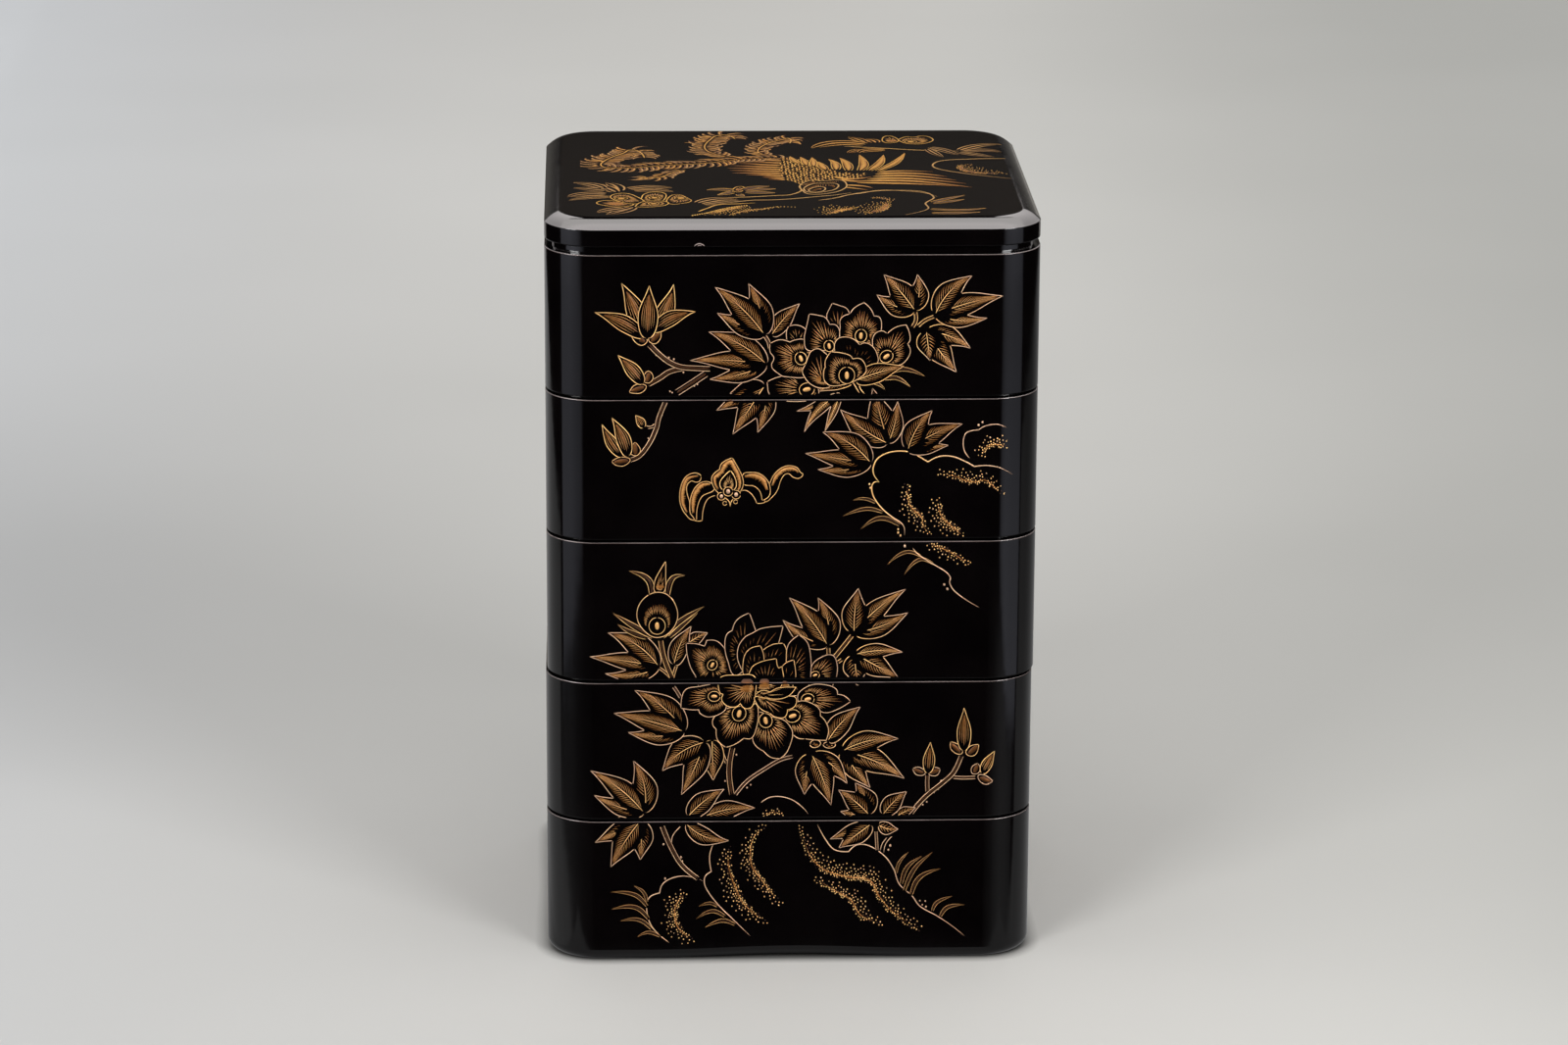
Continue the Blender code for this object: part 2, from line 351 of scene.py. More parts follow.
class Sheet:
    """One flat drawing. A shape hides what is drawn after it."""

    def __init__(self, seed, weight=1.0):
        self.dice = random.Random(seed)
        self.weight = weight
        self.runs = []
        self.shapes = []
        self.boxes = np.zeros((0, 4))

    def hide_behind(self, shape):
        """Later strokes don't show inside this shape."""
        self.shapes.append(shape)
        self.boxes = np.vstack([self.boxes, [*shape.min(axis=0), *shape.max(axis=0)]])

    def visible(self, points, more):
        """Which of the points no shape drawn before hides, nor any of these more shapes."""
        low, high = points.min(axis=0), points.max(axis=0)
        seen = np.ones(len(points), bool)
        b = self.boxes
        near = (b[:, 0] < high[0]) & (b[:, 2] > low[0]) & (b[:, 1] < high[1]) & (b[:, 3] > low[1])
        for shape in [self.shapes[k] for k in np.flatnonzero(near)] + list(more):
            seen &= ~inside(shape, points)
        return seen

    def stroke(self, points, width, tone, tone_end=None, taper=(0.15, 0.15), edge=None, rise=1.0,
               more=(), round_ends=False, pale=False):
        """Line with a width and a tone, thin at its ends, where nothing drawn before hides it.

        edge is the tone of its two sides, where that isn't the tone of its middle.
        """
        points = np.asarray(points, float)
        if len(points) < 2:
            return
        t = np.linspace(0.0, 1.0, len(points))
        if round_ends:
            shape = np.sqrt(np.clip(1.0 - (2 * t - 1) ** 2, 0.0, 1.0))
        else:
            start, end = (max(v, 1e-6) for v in taper)
            shape = np.clip(np.minimum(t / start, (1 - t) / end), 0.0, 1.0) ** 0.7
        half = 0.5 * width * self.weight * shape * STROKE_SPREAD
        tones = tone + ((tone if tone_end is None else tone_end) - tone) * t
        blush = np.clip((PALE_BELOW - tones) / PALE_RANGE, 0.0, 1.0) * pale
        self.runs += seen_parts((points, half, tones, blush, edge, rise), self.visible(points, more))

    def build(self, name, surface, bottom, top, material):
        """Closed gold mesh of the strokes between two heights, laid on a surface."""
        flat, lift, faces, tones, blushes = [], [], [], [], []
        runs = []
        for run in self.runs:
            runs += seen_parts(run, (run[0][:, 1] > bottom) & (run[0][:, 1] < top))
        for points, half, tone, blush, edge, rise in runs:
            n = len(points)
            left = headings(points)[1] * half[:, None]
            first = len(flat)
            side = tone if edge is None else np.full(n, edge)
            across = np.stack([points + left, points, points - left], axis=1)[1:-1].reshape(-1, 2)
            flat += [points[0], *across, points[-1]]
            peaks = [-STROKE_SINK, STROKE_RISE * rise, -STROKE_SINK] * (n - 2)
            lift += [-STROKE_SINK, *peaks, -STROKE_SINK]
            tones += [side[0], *np.stack([side, tone, side], axis=1)[1:-1].ravel(), side[-1]]
            blushes += [blush[0], *np.repeat(blush[1:-1], 3), blush[-1]]
            last = len(flat) - 1
            a = first + 1
            faces.extend([(first, a + 1, a), (first, a + 2, a + 1), (first, a, a + 2)])
            for k in range(n - 3):
                a = first + 1 + 3 * k
                b = a + 3
                faces.extend([(a, a + 1, b + 1, b), (a + 1, a + 2, b + 2, b + 1), (a + 2, a, b, b + 2)])
            a = last - 3
            faces.extend([(last, a, a + 1), (last, a + 1, a + 2), (last, a + 2, a)])
        flat = np.array(flat)
        mesh = bpy.data.meshes.new(name)
        mesh.from_pydata(surface(flat[:, 0] / MM, flat[:, 1] / MM, np.array(lift)), [], faces)
        mesh.attributes.new("tone", "FLOAT", "POINT").data.foreach_set("value", np.clip(tones, 0, 1))
        mesh.attributes.new("blush", "FLOAT", "POINT").data.foreach_set("value", blushes)
        mesh.materials.append(material)
        mesh.shade_smooth()
        made = bpy.data.objects.new(name, mesh)
        bpy.context.scene.collection.objects.link(made)
        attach(made, "root")


class Lobe:
    """Pointed lobe round a bent middle line."""

    def __init__(self, base, tip, width, bend):
        self.base, self.tip = np.array(base, float), np.array(tip, float)
        self.axis = self.tip - self.base
        self.length = float(np.hypot(*self.axis))
        self.side = np.array([-self.axis[1], self.axis[0]]) / self.length
        self.width, self.bend = width, bend * self.length
        t = shares(0.0, 1.0, STEP / self.length)
        self.left, self.right = self.at(t, 1.0), self.at(t, -1.0)
        self.outline = np.vstack([self.left, self.right[::-1][1:-1]])

    def at(self, t, across):
        """Point at a share of the length, and from -1 to 1 across the lobe."""
        t = np.asarray(t, float)
        rise = np.sqrt(np.clip(1.0 - (1.0 - t / WIDEST) ** 2, 0.0, 1.0)) ** 0.85
        fall = math.pi / 2 * np.clip((t - WIDEST) / (1.0 - WIDEST), 0.0, 1.0)
        fall = 0.72 * np.cos(fall) ** 1.1 + 0.28 * np.cos(fall) ** 3
        half = self.width / 2 * np.where(t < WIDEST, rise, fall)
        off = self.bend * 4 * t * (1 - t) + half * across
        return self.base + t[..., None] * self.axis + off[..., None] * self.side


def leaf(sheet, base, lobes, tone=COPPER, tip_tone=COPPER, fill=1.0):
    """Leaf of one or more lobes that spread from one base, veined, with shaded tips.

    A lobe has its tip, its width, and its bend as a share of its length.
    """
    shapes = [Lobe(base, tip, width * LEAF_FULLNESS, bend) for tip, width, bend in lobes]
    for k, shape in enumerate(shapes):
        others = [o.outline for o in shapes if o is not shape]
        before = [o.outline for o in shapes[:k]]
        for edge in (shape.left, shape.right):
            sheet.stroke(edge, OUTLINE, tone + 0.04, tip_tone + 0.04, (0.03, 0.05), more=others, pale=True)
        rib = shape.at(shares(0.03, 0.92, STEP / shape.length), 0.0)
        sheet.stroke(rib, 0.30, tone + 0.25, 0.55, (0.05, 0.5), more=before)
        shade = shape.at(shares(0.50, 0.93, 0.6 / shape.length), 0.0)
        sheet.stroke(shade, shape.width * 0.36 * fill, 0.325, 0.265, (0.60, 0.40), 0.06, SHADE_RISE, before)
        for side in (-1, 1):
            t = 0.05 + 0.3 / shape.length
            while t < 0.80:
                closer = min(1.0, max(0.0, (t - 0.30) / 0.30))
                end = t + 0.24 - 0.10 * t
                u = np.linspace(0.0, 1.0, 5)
                out = side * (0.78 - 0.14 * closer + sheet.dice.uniform(-0.05, 0.03)) * u**0.85
                points = np.array([shape.at(t + (end - t) * v, o) for v, o in zip(u, out)])
                points[0] = shape.at(t, 0.0)
                sheet.stroke(points, VEIN, 0.68 + 0.3 * (tone - COPPER), 0.33, (0.05, 0.5), more=before)
                t += (1.50 - 0.30 * closer) / shape.length
    for shape in shapes:
        sheet.hide_behind(shape.outline)


def long_petal(sheet, base, tip, width, bend, tone=0.90):
    """Pointed petal with fine lines along it."""
    shape = Lobe(base, tip, width, bend)
    for edge in (shape.left, shape.right):
        sheet.stroke(edge, OUTLINE, tone, taper=(0.03, 0.08))
    t = shares(0.12, 0.84, 0.7 / shape.length)
    sheet.stroke(shape.at(t, 0.0), width * 0.46, 0.29, 0.35, (0.5, 0.4), 0.05, SHADE_RISE)
    lines = max(4, int(width * 0.62 / 0.74))
    for k in range(lines):
        across = 0.62 * (2 * k / (lines - 1) - 1)
        end = 0.86 - 0.12 * abs(across) + sheet.dice.uniform(-0.04, 0.02)
        t = shares(0.10 + 0.16 * abs(across), end, 0.8 / shape.length)
        sheet.stroke(shape.at(t, across), VEIN, 0.64, 0.48, (0.3, 0.4))
    sheet.hide_behind(shape.outline)


def eye_at(sheet, place, size, tilt, ring, tone):
    """Oval eye of a petal, in a dark ring with a drawn rim."""
    a = math.radians(tilt)
    along = np.array([math.cos(a), math.sin(a)])
    t = np.linspace(-1.0, 1.0, 9)[:, None]
    iris = place + t * along * size * EYE_LENGTH * 0.9
    sheet.stroke(iris, size * 1.2, 0.76, edge=0.46, round_ends=True)
    turns = np.linspace(0, 2 * math.pi, 28)
    across = np.array([-along[1], along[0]])
    rim = (np.cos(turns)[:, None] * along * (size * EYE_LENGTH * 0.55 + size * ring * 0.75)
           + np.sin(turns)[:, None] * across * size * ring)
    sheet.stroke(place + rim, 0.22, tone - 0.15, taper=BLUNT)
    sheet.hide_behind(place + rim)


def petal(sheet, outline, eye, size, tone, spread=0.74, inner=0.95, fade=0.36, depth=0.88, tilt=90.0,
          ring=1.9):
    """Rounded petal with fine lines that fan out from a place on it, where a size above 0 draws an eye."""
    shape = curve(outline, closed=True)
    eye = np.array(eye, float)
    if size:
        eye_at(sheet, eye, size, tilt, ring, min(1.0, inner + 0.05))
    sheet.stroke(shape, OUTLINE, tone, taper=CLOSED, pale=True)
    start = size * ring * 1.25 if size else 0.8
    reaches = [reach(shape, eye, a) for a in np.linspace(0, 2 * math.pi, 24)]
    typical = np.mean(reaches)
    wash = min(0.60 * typical, 0.9 * min(reaches))
    across = eye + np.linspace(-1, 1, 9)[:, None] * [wash, 0.0]
    sheet.stroke(across, wash * 2, 0.47, edge=0.05, rise=0.2, round_ends=True)
    lines = int(2 * math.pi * (start + 0.42 * typical) / spread)
    for k in range(lines):
        bearing = 2 * math.pi * (k + sheet.dice.uniform(-0.2, 0.2)) / lines
        far = reach(shape, eye, bearing)
        end = min(far - 1.0, far * depth) * sheet.dice.uniform(0.92, 1.0)
        begin = start * 1.02 if k % 2 else start + 0.22 * max(0.0, end - start)
        if end - begin < 0.7:
            continue
        ray = np.array([math.cos(bearing), math.sin(bearing)])
        bow = np.array([-ray[1], ray[0]]) * sheet.dice.uniform(-0.02, 0.02) * end
        t = np.linspace(0.0, 1.0, max(4, int((end - begin) / 1.4)))[:, None]
        points = eye + ray * (begin + (end - begin) * t) + bow * t * t
        sheet.stroke(points, RAY, inner - 0.13, fade, (0.04, 0.65))
        if k % 2:
            sheet.stroke(points, spread * 1.5, 0.42, 0.14, (0.05, 0.6), 0.12, SHADE_RISE)
    sheet.hide_behind(shape)


def bud_scale(sheet, outline, tone=0.75):
    """Small rounded scale, shaded all over."""
    shape = curve(outline, closed=True)
    middle = shape.mean(axis=0)
    sheet.stroke(shape, OUTLINE * 0.9, tone, taper=CLOSED, pale=True)
    spread = shape - middle
    bearing = np.linalg.svd(spread, full_matrices=False)[2][0]
    long, wide = np.abs(spread @ bearing).max(), np.abs(spread @ [-bearing[1], bearing[0]]).max()
    t = np.linspace(-0.85, 0.85, 9)[:, None]
    shade = middle + t * bearing * long
    sheet.stroke(shade, wide * 1.10, 0.34, 0.27, edge=0.08, rise=0.6, round_ends=True)
    sheet.hide_behind(shape)


def blade(sheet, points, width, tone=0.5):
    """Blade of grass from its root to its tip: two edges and a shaded middle."""
    middle = curve(points)
    side = headings(middle)[1]
    t = np.linspace(0.0, 1.0, len(middle))
    half = (width / 2 * np.sin(math.pi * (0.12 + 0.88 * t) ** 0.8) ** 0.9)[:, None]
    edge = min(0.21, 0.09 + 0.04 * width)
    for way in (-1, 1):
        sheet.stroke(middle + way * side * half, edge, tone + 0.24, tone + 0.14, (0.03, 0.3))
    sheet.stroke(middle, width * 0.5, 0.14, 0.10, (0.25, 0.35), 0.04, 0.4)
    sheet.hide_behind(np.vstack([middle + side * half, (middle - side * half)[::-1]]))


def line(sheet, points, width, tone, tone_end=None, taper=(0.08, 0.25)):
    """Single drawn line."""
    sheet.stroke(curve(points), width * 0.60, min(1.0, tone + 0.05), tone_end, taper, pale=True)


def stem(sheet, points, width, tone):
    """Stem drawn as two edges."""
    middle = curve(points)
    side = headings(middle)[1] * width / 2
    sheet.stroke(middle, width * 0.7, 0.16, taper=(0.1, 0.1), edge=0.02, rise=SHADE_RISE)
    for way in (-1, 1):
        sheet.stroke(middle + way * side, 0.24, tone + 0.04, taper=(0.02, 0.06), pale=True)
    sheet.hide_behind(np.vstack([middle + side, (middle - side)[::-1]]))


def dot(sheet, place, size, tone, rise=1.0, pale=True):
    """Round dot of a size from its middle to its rim."""
    points = np.array(place, float) + np.linspace(-1, 1, 5)[:, None] * [size, 0.0]
    sheet.stroke(points, size * 2, tone, rise=rise, round_ends=True, pale=pale)


def dots(sheet, places, size, tone=0.6):
    for place in places:
        dot(sheet, place, size * sheet.dice.uniform(0.85, 1.15), tone)


def stipple(sheet, points, depth, count, tone=0.72):
    """Dots thrown off one side of a curve, thick beside it and thin away from it.

    A positive depth is to the left of the way the curve runs.
    """
    middle = curve(points)
    side = headings(middle)[1]
    ends = len(middle) // 10
    band = (middle + side * depth * 0.26)[ends:len(middle) - ends]
    sheet.stroke(band, abs(depth) * 0.52, tone - 0.25, taper=(0.5, 0.5), edge=0.04, rise=SHADE_RISE)
    placed = np.zeros((0, 2))
    for _ in range(count * 7):
        t = sheet.dice.betavariate(1.7, 1.7)
        k = min(len(middle) - 1, int(t * len(middle)))
        mound = math.sin(math.pi * min(1, max(0, t))) ** 0.7
        away = min(2.2, sheet.dice.expovariate(1.0 / CORE))
        place = middle[k] + side[k] * depth * (away * (0.35 + 0.65 * mound))
        place = place + np.array([sheet.dice.gauss(0, 0.35), sheet.dice.gauss(0, 0.35)])
        near = max(0.0, 1.0 - away)
        gap = 0.68 + 0.36 * away + 0.5 * (1.0 - mound)
        if len(placed) and np.min(np.hypot(*(placed - place).T)) < gap:
            continue
        placed = np.vstack([placed, place])
        size = 0.27 + sheet.dice.uniform(-0.05, 0.06)
        if near > 0.2 and sheet.dice.random() < 0.30:
            dot(sheet, place, size * 1.05, 0.05, 1.15, False)
        else:
            light = tone + 0.06 + 0.16 * near + sheet.dice.uniform(-0.14, 0.16)
            dot(sheet, place, size, min(1.0, light), pale=near < 0.1)


def fringe(sheet, points, length, spacing, tone, side):
    """Short lines off one side of a curve, to its left for a side of 1."""
    middle = curve(points, step=spacing)
    off = headings(middle)[1] * side
    for k in range(1, len(middle) - 1):
        mound = math.sin(math.pi * k / (len(middle) - 1)) ** 0.5
        far = length * mound * sheet.dice.uniform(0.6, 1.0)
        t = np.linspace(0.0, 1.0, 5)[:, None]
        sheet.stroke(middle[k] + off[k] * (0.5 + far * t), 0.24, tone, 0.38, (0.05, 0.7))


def filled(sheet, outline, edge_from, length, tone, side):
    """Outlined shape, shaded by a fringe off part of its edge."""
    shape = curve(outline, closed=True)
    sheet.stroke(shape, 0.25, 0.8, taper=CLOSED)
    fringe(sheet, edge_from, length, 0.42, tone, side)
    middle = curve(edge_from)
    shade = middle + headings(middle)[1] * side * length * 0.42
    sheet.stroke(shade, length * 0.95, 0.50, taper=(0.25, 0.25), edge=0.14, rise=SHADE_RISE)
    sheet.hide_behind(shape)


# Parts of the drawing: w is the drawing on the wall, and t is the one on the lid's top. The points on the
# front and the lid were picked by eye on enlarged parts of the photo. A separate script then turned them
# into millimetres, with the camera that the end of this file sets.

def upper_peony(w):
    """Peony across the top tray, opened to the front."""
    petal(w, [(15.7, 273.8, 1), (19.9, 273.4), (23.8, 272.2), (25.0, 270.7, 1), (28.3, 270.7), (30.4, 267.9),
        (30.5, 264.8), (26.0, 261.1, 1), (21.8, 259.6), (15.8, 259.0), (13.1, 261.2), (12.6, 264.9),
        (13.3, 267.0, 1), (13.3, 269.8), (14.5, 272.3)], (22.5, 263.5), 1.5, 0.72, ring=2.25, inner=1.0)
    leaf(w, (26.3, 261.1), [((47.0, 267.5), 6.6, 0.03)], 0.85, 0.7, 0.6)
    petal(w, [(5.8, 271.1), (7.3, 274.1), (10.3, 275.2), (13.3, 273.2), (15.4, 271.0), (16.3, 264.9),
        (15.8, 259.0), (11.0, 258.1), (6.8, 260.0), (4.4, 263.1), (3.6, 265.5), (4.9, 268.3, 1)],
        (12.2, 261.8), 0.0, 0.66, inner=0.95)
    petal(w, [(17.2, 274.7), (17.4, 277.8), (19.2, 279.9), (22.8, 280.2), (25.8, 279.0), (27.9, 276.8, 1),
        (30.0, 277.7), (33.0, 276.5), (35.1, 273.4), (35.6, 269.1), (30.7, 265.4), (24.2, 261.1),
        (18.7, 267.3)], (25.0, 265.5), 0.0, 0.66, inner=0.9, depth=0.84)
    petal(w, [(33.3, 277.7), (34.2, 281.4), (37.1, 282.9), (39.5, 281.7, 1), (43.1, 284.4), (47.6, 285.5, 1),
        (49.0, 282.0), (49.3, 278.9), (48.3, 277.2, 1), (49.5, 274.0), (48.0, 270.3), (45.1, 268.0),
        (40.3, 268.2), (35.5, 268.8)], (39.3, 271.7), 1.35, 0.64, tilt=35, inner=0.95)
    petal(w, [(6.3, 290.4, 1), (10.2, 289.8), (13.2, 288.8), (15.1, 285.8, 1), (17.7, 285.5), (19.2, 283.3),
        (19.2, 280.5), (17.8, 274.7), (10.3, 274.7), (5.5, 274.8), (4.3, 279.7), (4.9, 283.4), (5.7, 287.0)],
        (14.9, 276.4), 1.15, 0.6, tilt=100)
    petal(w, [(19.5, 285.1), (19.5, 287.6), (20.9, 289.4), (23.6, 290.3, 1), (25.7, 293.1), (29.6, 295.2, 1),
        (32.3, 292.7), (33.9, 289.4, 1), (36.2, 288.8), (37.1, 286.3), (36.8, 282.6), (34.2, 275.9),
        (27.0, 274.7), (19.9, 279.6)], (28.4, 280.8), 1.3, 0.6, tilt=85)
    petal(w, [(-10.2, 277.6, 1), (-6.1, 279.2), (-1.9, 278.2, 1), (0.9, 279.2), (4.1, 279.2), (8.0, 275.2),
        (10.6, 270.0), (6.8, 263.4), (-4.1, 263.1), (-6.7, 264.5), (-9.2, 266.8), (-9.5, 268.8, 1),
        (-8.6, 271.4), (-10.2, 274.0)], (2.9, 271.0), 1.3, 0.62, tilt=110)
    petal(w, [(-11.4, 260.9, 1), (-7.9, 262.5), (-4.1, 263.5, 1), (-0.9, 265.6), (3.6, 265.3), (8.0, 262.1),
        (10.6, 256.8), (9.4, 252.9), (-8.5, 253.0), (-10.8, 256.3), (-11.2, 258.9)], (5.5, 257.4), 1.5, 0.62,
        tilt=10, inner=1.0)
    petal(w, [(13.8, 289.5), (15.0, 292.8), (16.1, 295.0, 1), (19.1, 294.0), (22.1, 292.8), (23.3, 290.3),
        (22.2, 285.1), (18.6, 283.3), (15.3, 285.2)], (18.6, 283.9), 0.0, 0.55, fade=0.25)
    petal(w, [(-3.2, 279.9), (-3.2, 283.1), (-2.3, 285.1, 1), (0.9, 285.6), (4.1, 284.4), (5.4, 282.4),
        (6.0, 277.9), (-2.2, 276.6)], (1.6, 277.9), 0.0, 0.6)
    leaf(w, (24.8, 260.6), [((9.5, 256.3), 3.6, -0.05)], 0.8, 0.6)
    blade(w, [(40.3, 264.5), (47.2, 266.1), (56.0, 262.9)], 1.7, 0.6)
    blade(w, [(38.5, 261.7), (43.9, 262.2), (49.7, 258.3)], 1.6, 0.65)
    blade(w, [(32.5, 260.6), (36.2, 259.5), (38.9, 257.1)], 1.3, 0.7)
    line(w, [(25.1, 260.5), (26.6, 258.0), (27.9, 255.7)], 0.6, 0.7)
    line(w, [(27.6, 259.9), (28.5, 257.4), (30.3, 255.3)], 0.6, 0.7)
    leaf(w, (19.9, 255.3), [((4.5, 238.6), 4.0, -0.1), ((13.3, 238.9), 2.6, 0.0), ((1.1, 247.9), 3.4, 0.05)],
        0.6, 0.5)


def top_tray_leaves(w):
    """Magnolia, bud and leaves on the top tray."""
    long_petal(w, (-62.4, 280.0), (-61.4, 303.1), 8.4, 0.0)
    long_petal(w, (-59.7, 283.4), (-41.7, 291.6), 6.6, 0.09)
    long_petal(w, (-64.0, 280.9), (-84.6, 291.4), 7.0, -0.06)
    long_petal(w, (-64.3, 281.4), (-73.3, 304.2), 8.2, -0.05)
    long_petal(w, (-60.2, 284.0), (-51.1, 303.7), 7.4, -0.08)
    bud_scale(w, [(-69.4, 282.0, 1), (-66.5, 282.4), (-63.4, 280.8), (-62.4, 278.8), (-64.7, 277.0),
        (-67.5, 278.5)])
    bud_scale(w, [(-61.8, 279.8), (-59.6, 282.4), (-56.5, 282.8, 1), (-56.7, 280.1), (-58.6, 277.8),
        (-60.8, 278.1)])
    long_petal(w, (-64.2, 260.3), (-75.0, 272.8), 6.0, -0.03)
    bud_scale(w, [(-64.1, 262.8), (-62.0, 265.7), (-59.9, 263.4), (-61.2, 260.8), (-63.6, 261.0)])
    bud_scale(w, [(-70.1, 256.5, 1), (-67.9, 259.5), (-64.7, 260.0), (-62.8, 259.0), (-64.7, 256.4),
        (-67.6, 256.0)])
    stem(w, [(-35.4, 266.6), (-41.7, 266.9), (-48.1, 267.5), (-53.2, 269.7), (-57.7, 273.4), (-61.6, 277.5)],
        2.0, 0.6)
    stem(w, [(-47.5, 266.8), (-53.2, 265.3), (-57.0, 262.7), (-62.2, 259.8)], 1.9, 0.6)
    stem(w, [(-37.3, 264.6), (-43.0, 260.7), (-50.0, 256.1)], 2.6, 0.55)
    dots(w, [(-58.6, 272.6), (-53.2, 271.6), (-51.1, 270.9), (-48.2, 268.4), (-47.0, 265.1), (-37.9, 265.3),
        (-41.1, 259.9), (-42.4, 259.2), (-52.7, 256.8), (-51.8, 256.3)], 0.38)
    leaf(w, (-12.5, 281.2), [((-33.8, 302.3), 8.6, -0.05), ((-19.5, 303.8), 8.0, -0.06),
        ((-32.8, 291.0), 6.6, 0.02)])
    leaf(w, (-9.7, 281.1), [((2.4, 295.0), 6.2, 0.04)])
    stem(w, [(-12.5, 280.9), (-10.9, 278.3), (-10.2, 275.3)], 1.3, 0.6)
    leaf(w, (-11.6, 268.4), [((-36.5, 282.8), 8.0, -0.07), ((-44.3, 270.3), 6.6, -0.03),
        ((-36.0, 262.0), 6.0, 0.05)])
    leaf(w, (51.3, 291.6), [((37.8, 307.4), 8.2, -0.03), ((52.1, 307.5), 6.6, -0.08),
        ((34.9, 298.7), 6.6, 0.08)], 0.75, 0.5)
    leaf(w, (59.8, 289.7), [((75.5, 306.8), 8.0, 0.1), ((88.8, 297.8), 7.6, 0.04),
        ((82.2, 288.4), 5.0, -0.08)], 0.75, 0.5)
    leaf(w, (56.2, 282.7), [((57.9, 269.7), 7.4, 0.0), ((69.3, 264.6), 8.2, -0.02),
        ((75.2, 275.0), 6.6, 0.08)], 0.85, 0.5)
    stem(w, [(51.4, 291.1), (51.7, 287.5), (50.2, 284.4)], 1.3, 0.8)
    stem(w, [(59.5, 289.1), (55.6, 287.4), (52.5, 284.7)], 1.2, 0.8)
    leaf(w, (-12.4, 259.3), [((-26.1, 237.7), 8.0, 0.0), ((-15.5, 238.4), 7.0, 0.08),
        ((-33.1, 248.3), 6.5, 0.0), ((-27.4, 255.7), 5.0, -0.05)], 0.55, 0.5)


def circle(x, z, size, count):
    """Points round a circle."""
    turns = np.linspace(0, 2 * math.pi, count)
    return np.stack([x + size * np.cos(turns), z + size * np.sin(turns)], axis=1)


def bat(w):
    """Bat, a sign of good fortune, flying across the second tray."""
    for x, z, size in [(-27.9, 212.6, 2.03), (-30.8, 210.5, 1.72), (-24.5, 211.2, 1.91)]:
        w.stroke(circle(x, z, size, 16), 0.24, 0.8, taper=BLUNT)
        dot(w, (x, z), size * 0.5, 0.55)
        w.hide_behind(circle(x, z, size, 16))
    for x, z, size in [(-29.3, 207.4, 0.89), (-24.7, 208.0, 0.89)]:
        w.stroke(circle(x, z, size, 12), 0.22, 0.8, taper=BLUNT)
    line(w, [(-29.2, 209.8), (-27.4, 208.0), (-27.1, 205.8)], 0.5, 0.85)
    line(w, [(-25.1, 209.9), (-26.6, 208.0), (-27.0, 205.8)], 0.5, 0.85)
    petal(w, [(-26.9, 221.9, 1), (-24.7, 217.9), (-24.7, 214.2), (-27.3, 212.7), (-30.5, 213.6),
        (-31.4, 216.6), (-29.2, 219.9)], (-27.6, 214.6), 0.0, 0.9, 0.42, 0.95, 0.6, 0.9)
    filled(w, [(-26.2, 227.5, 1), (-24.1, 223.8), (-21.7, 218.5), (-21.7, 214.5), (-23.8, 211.6),
        (-27.6, 211.2), (-31.8, 211.9), (-34.4, 215.3), (-34.8, 219.2), (-31.6, 222.4, 1), (-30.5, 225.2)],
        [(-32.8, 212.9), (-34.5, 215.9), (-34.7, 219.2), (-31.6, 222.2), (-30.2, 225.2), (-26.4, 227.0),
        (-24.3, 223.7), (-22.0, 218.5), (-22.0, 214.5), (-23.8, 211.9)], 2.8, 0.8, -1)
    filled(w, [(-39.5, 219.3), (-40.5, 220.5), (-43.0, 220.8), (-45.9, 219.3), (-47.8, 216.0), (-48.7, 210.7),
        (-48.2, 206.7), (-46.2, 202.7), (-42.7, 200.1), (-44.2, 203.3), (-44.4, 208.0), (-45.5, 212.0),
        (-45.5, 215.3), (-43.7, 217.3), (-41.7, 216.8), (-40.1, 217.3)], [(-40.5, 220.5), (-45.9, 219.3),
        (-47.8, 216.0), (-48.7, 210.7), (-48.2, 206.7), (-46.1, 202.7)], 2.6, 0.75, 1)
    filled(w, [(-34.7, 215.9), (-37.3, 217.1), (-40.5, 216.0), (-43.0, 212.7), (-44.2, 208.0), (-43.8, 202.0),
        (-41.4, 199.9, 1), (-41.0, 206.0), (-38.9, 210.6), (-34.0, 213.3)], [(-35.0, 216.5), (-37.3, 217.1),
        (-40.5, 216.0), (-43.0, 212.7), (-44.2, 208.0), (-43.8, 202.7)], 3.0, 0.75, 1)
    filled(w, [(-21.5, 220.2), (-18.0, 221.0), (-14.8, 220.5), (-11.6, 218.1), (-10.0, 214.5), (-10.4, 210.5),
        (-13.4, 208.5, 1), (-14.3, 212.5), (-16.7, 214.8), (-21.5, 216.0)], [(-10.2, 213.1), (-11.6, 218.1),
        (-14.8, 220.5), (-18.0, 221.0), (-21.4, 220.2)], 3.4, 0.75, 1)
    filled(w, [(-10.2, 215.7, 1), (-8.4, 219.8), (-5.5, 222.7), (-2.0, 223.9), (1.5, 223.0), (3.0, 220.9),
        (4.1, 220.0), (2.4, 218.3), (0.0, 218.7), (-2.0, 220.3), (-3.9, 219.8), (-5.5, 217.1), (-6.8, 213.1),
        (-9.0, 210.1), (-12.2, 208.2), (-10.0, 211.1)], [(3.0, 220.9), (1.5, 223.0), (-2.0, 223.9),
        (-5.5, 222.7), (-8.4, 219.8), (-10.0, 215.1)], 2.8, 0.75, 1)
    line(w, [(-33.3, 210.9), (-36.6, 209.3), (-38.4, 205.3), (-39.0, 200.0)], 0.42, 0.7, taper=BLUNT)
    line(w, [(-46.2, 202.7), (-43.0, 200.1), (-40.5, 199.5), (-38.7, 200.0)], 0.42, 0.8, taper=BLUNT)
    line(w, [(-22.5, 212.9), (-19.9, 212.9), (-17.2, 210.5), (-15.6, 207.1)], 0.42, 0.7, taper=BLUNT)
    line(w, [(-15.6, 207.2), (-12.2, 207.7), (-9.0, 210.1)], 0.42, 0.8, taper=BLUNT)


